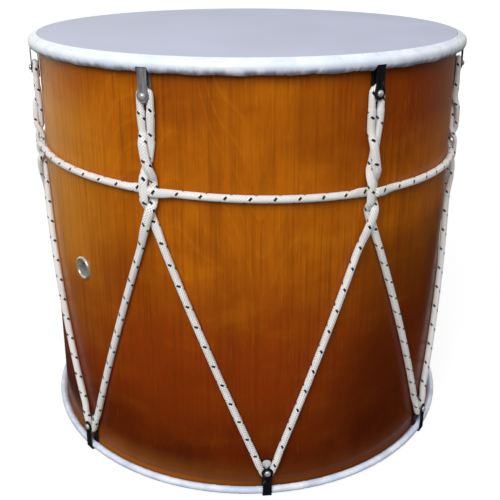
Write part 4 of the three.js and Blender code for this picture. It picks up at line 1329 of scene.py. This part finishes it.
# Floor, light and camera
FLOOR_SIZE = 6.0
FLOOR_HEIGHT = -0.0003
FLOOR_WHITE = 0.8
ROOM_COLOUR = (1.0, 0.94, 0.72, 1.0)
# Soft steps of the surroundings: from and to, as parts of a direction, and the brightness at either end
BEHIND_TO_FRONT = (-0.6, 0.05, 1.0, 0.05)
LEFT_TO_RIGHT = (-0.3, 0.25, 1.0, 0.3)
FLOOR_TO_WALL = (-0.42, -0.14, 0.05, 1.0)
WALL_TO_CEILING = (0.1, 0.7, 0.0, 0.7)
HORIZON_TO_SKY = (0.0, 0.9, 0.2, 0.34)
# Soft box: degrees from the camera, distance and height in metres, side length and power
KEY_LIGHT = ("key", -24, 1.0, 0.95, 0.5, 5.6)
KEY_AIM = (0, 0, 0.18)
# Broad lights: degrees from the camera, elevation in degrees and strength
SUNS = (("front_light", -4, 45, 1.75), ("back_light", 150, 25, 0.9))
SUN_SOFTNESS = math.radians(45)


def seen_by_camera(nodes):
    ray = nodes.add("ShaderNodeLightPath").outputs
    return nodes.larger(ray["Is Camera Ray"], ray["Is Transmission Ray"])


def make_floor():
    paint = Paint("pale_floor")
    mottle = paint.pattern((3, 3, 3), 2.0)
    material = paint.shade(
        Base_Color=paint.mix(mottle, lin(136, 136, 137), lin(139, 139, 139)),
        Roughness=0.9,
        Specular_IOR_Level=0.1,
        Emission_Color=WHITE,
        Emission_Strength=paint.times(seen_by_camera(paint), FLOOR_WHITE),
    )
    corners = ((-1, -1), (1, -1), (1, 1), (-1, 1))
    points = [(x * FLOOR_SIZE, y * FLOOR_SIZE, FLOOR_HEIGHT) for x, y in corners]
    mesh = bpy.data.meshes.new("floor")
    mesh.from_pydata(points, [], [(0, 1, 2, 3)])
    mesh.materials.append(material)
    floor = add_object("floor", mesh)
    floor.visible_glossy = False


def make_key(name, turn, distance, height, size, power):
    """A soft box that faces the middle of the drum."""
    data = bpy.data.lights.new(name, "AREA")
    data.shape = "RECTANGLE"
    data.size = size
    data.size_y = size
    data.energy = power
    light = add_object(name, data)
    light.location = round_drum(distance, from_camera(turn), height)
    aim = Vector(KEY_AIM) - light.location
    light.rotation_euler = aim.to_track_quat("-Z", "Y").to_euler()


def make_sun(name, turn, elevation, strength):
    data = bpy.data.lights.new(name, "SUN")
    data.energy = strength
    data.angle = SUN_SOFTNESS
    sun = add_object(name, data)
    sun.rotation_euler = (math.radians(90 - elevation), 0.0, from_camera(turn))
    sun.visible_glossy = False


def make_studio():
    """White surroundings. Shiny surfaces see a pale wall behind the drum, a dim room and a dark floor."""
    world = bpy.data.worlds.new("studio")
    world.use_nodes = True
    nodes = Nodes(world.node_tree)
    direction = nodes.add("ShaderNodeTexCoord").outputs["Generated"]
    upward = nodes.parts(direction)["Z"]
    nearer = nodes.measure("DOT_PRODUCT", direction, round_drum(1.0, CAMERA_AZIMUTH, 0.0))
    righter = nodes.measure("DOT_PRODUCT", direction, PHOTO_RIGHT)
    wall = nodes.times(
        nodes.spread(nearer, *BEHIND_TO_FRONT),
        nodes.spread(righter, *LEFT_TO_RIGHT),
        nodes.spread(upward, *FLOOR_TO_WALL),
    )
    room = nodes.larger(wall, nodes.spread(upward, *WALL_TO_CEILING))
    room = nodes.mix(room, BLACK, ROOM_COLOUR)
    sky = nodes.mix(nodes.spread(upward, *HORIZON_TO_SKY), BLACK, WHITE)
    glossy = nodes.add("ShaderNodeLightPath").outputs["Is Glossy Ray"]
    light = nodes.mix(seen_by_camera(nodes), nodes.mix(glossy, sky, room), WHITE)
    nodes.fill(world.node_tree.nodes["Background"], Color=light)
    bpy.context.scene.world = world
    make_key(*KEY_LIGHT)
    for sun in SUNS:
        make_sun(*sun)


def make_camera():
    data = bpy.data.cameras.new("photo_camera")
    data.lens = CAMERA_LENS
    data.sensor_width = CAMERA_SENSOR
    data.shift_x, data.shift_y = CAMERA_SHIFT
    camera = add_object("photo_camera", data)
    camera.location = round_drum(CAMERA_DISTANCE, CAMERA_AZIMUTH, CAMERA_HEIGHT)
    camera.rotation_euler = (math.pi / 2 - CAMERA_PITCH, 0.0, CAMERA_AZIMUTH)
    bpy.context.scene.camera = camera


def dress_node(node, material):
    """Gives a material to a node of the model that is shown as it is."""
    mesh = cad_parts[node].data
    mesh.materials.clear()
    mesh.materials.append(material)


make_camera()
make_ropes()
make_shell()
make_head_piece()
make_top_collar()
make_bottom_collar()
make_hooks("top", TOP_HOOK_TURN, TOP_RIVET_HEIGHT, TOP_SPAN, TOP_BEND, TOP_SPAN / 2)
make_hooks(
    "bottom", BOTTOM_HOOK_TURN, BOTTOM_RIVET_HEIGHT, BOTTOM_SPAN, BOTTOM_RIVET_HEIGHT, BOTTOM_HOOK_CORNER
)
make_vent()
dress_node("top_hoop", HOOP_STEEL)
dress_node("bottom_hoop", HOOP_STEEL)
dress_node("bottom_head", HEAD)
dress_node("vent_washer", NICKEL)
make_floor()
make_studio()
bpy.context.scene.view_settings.view_transform = "Standard"
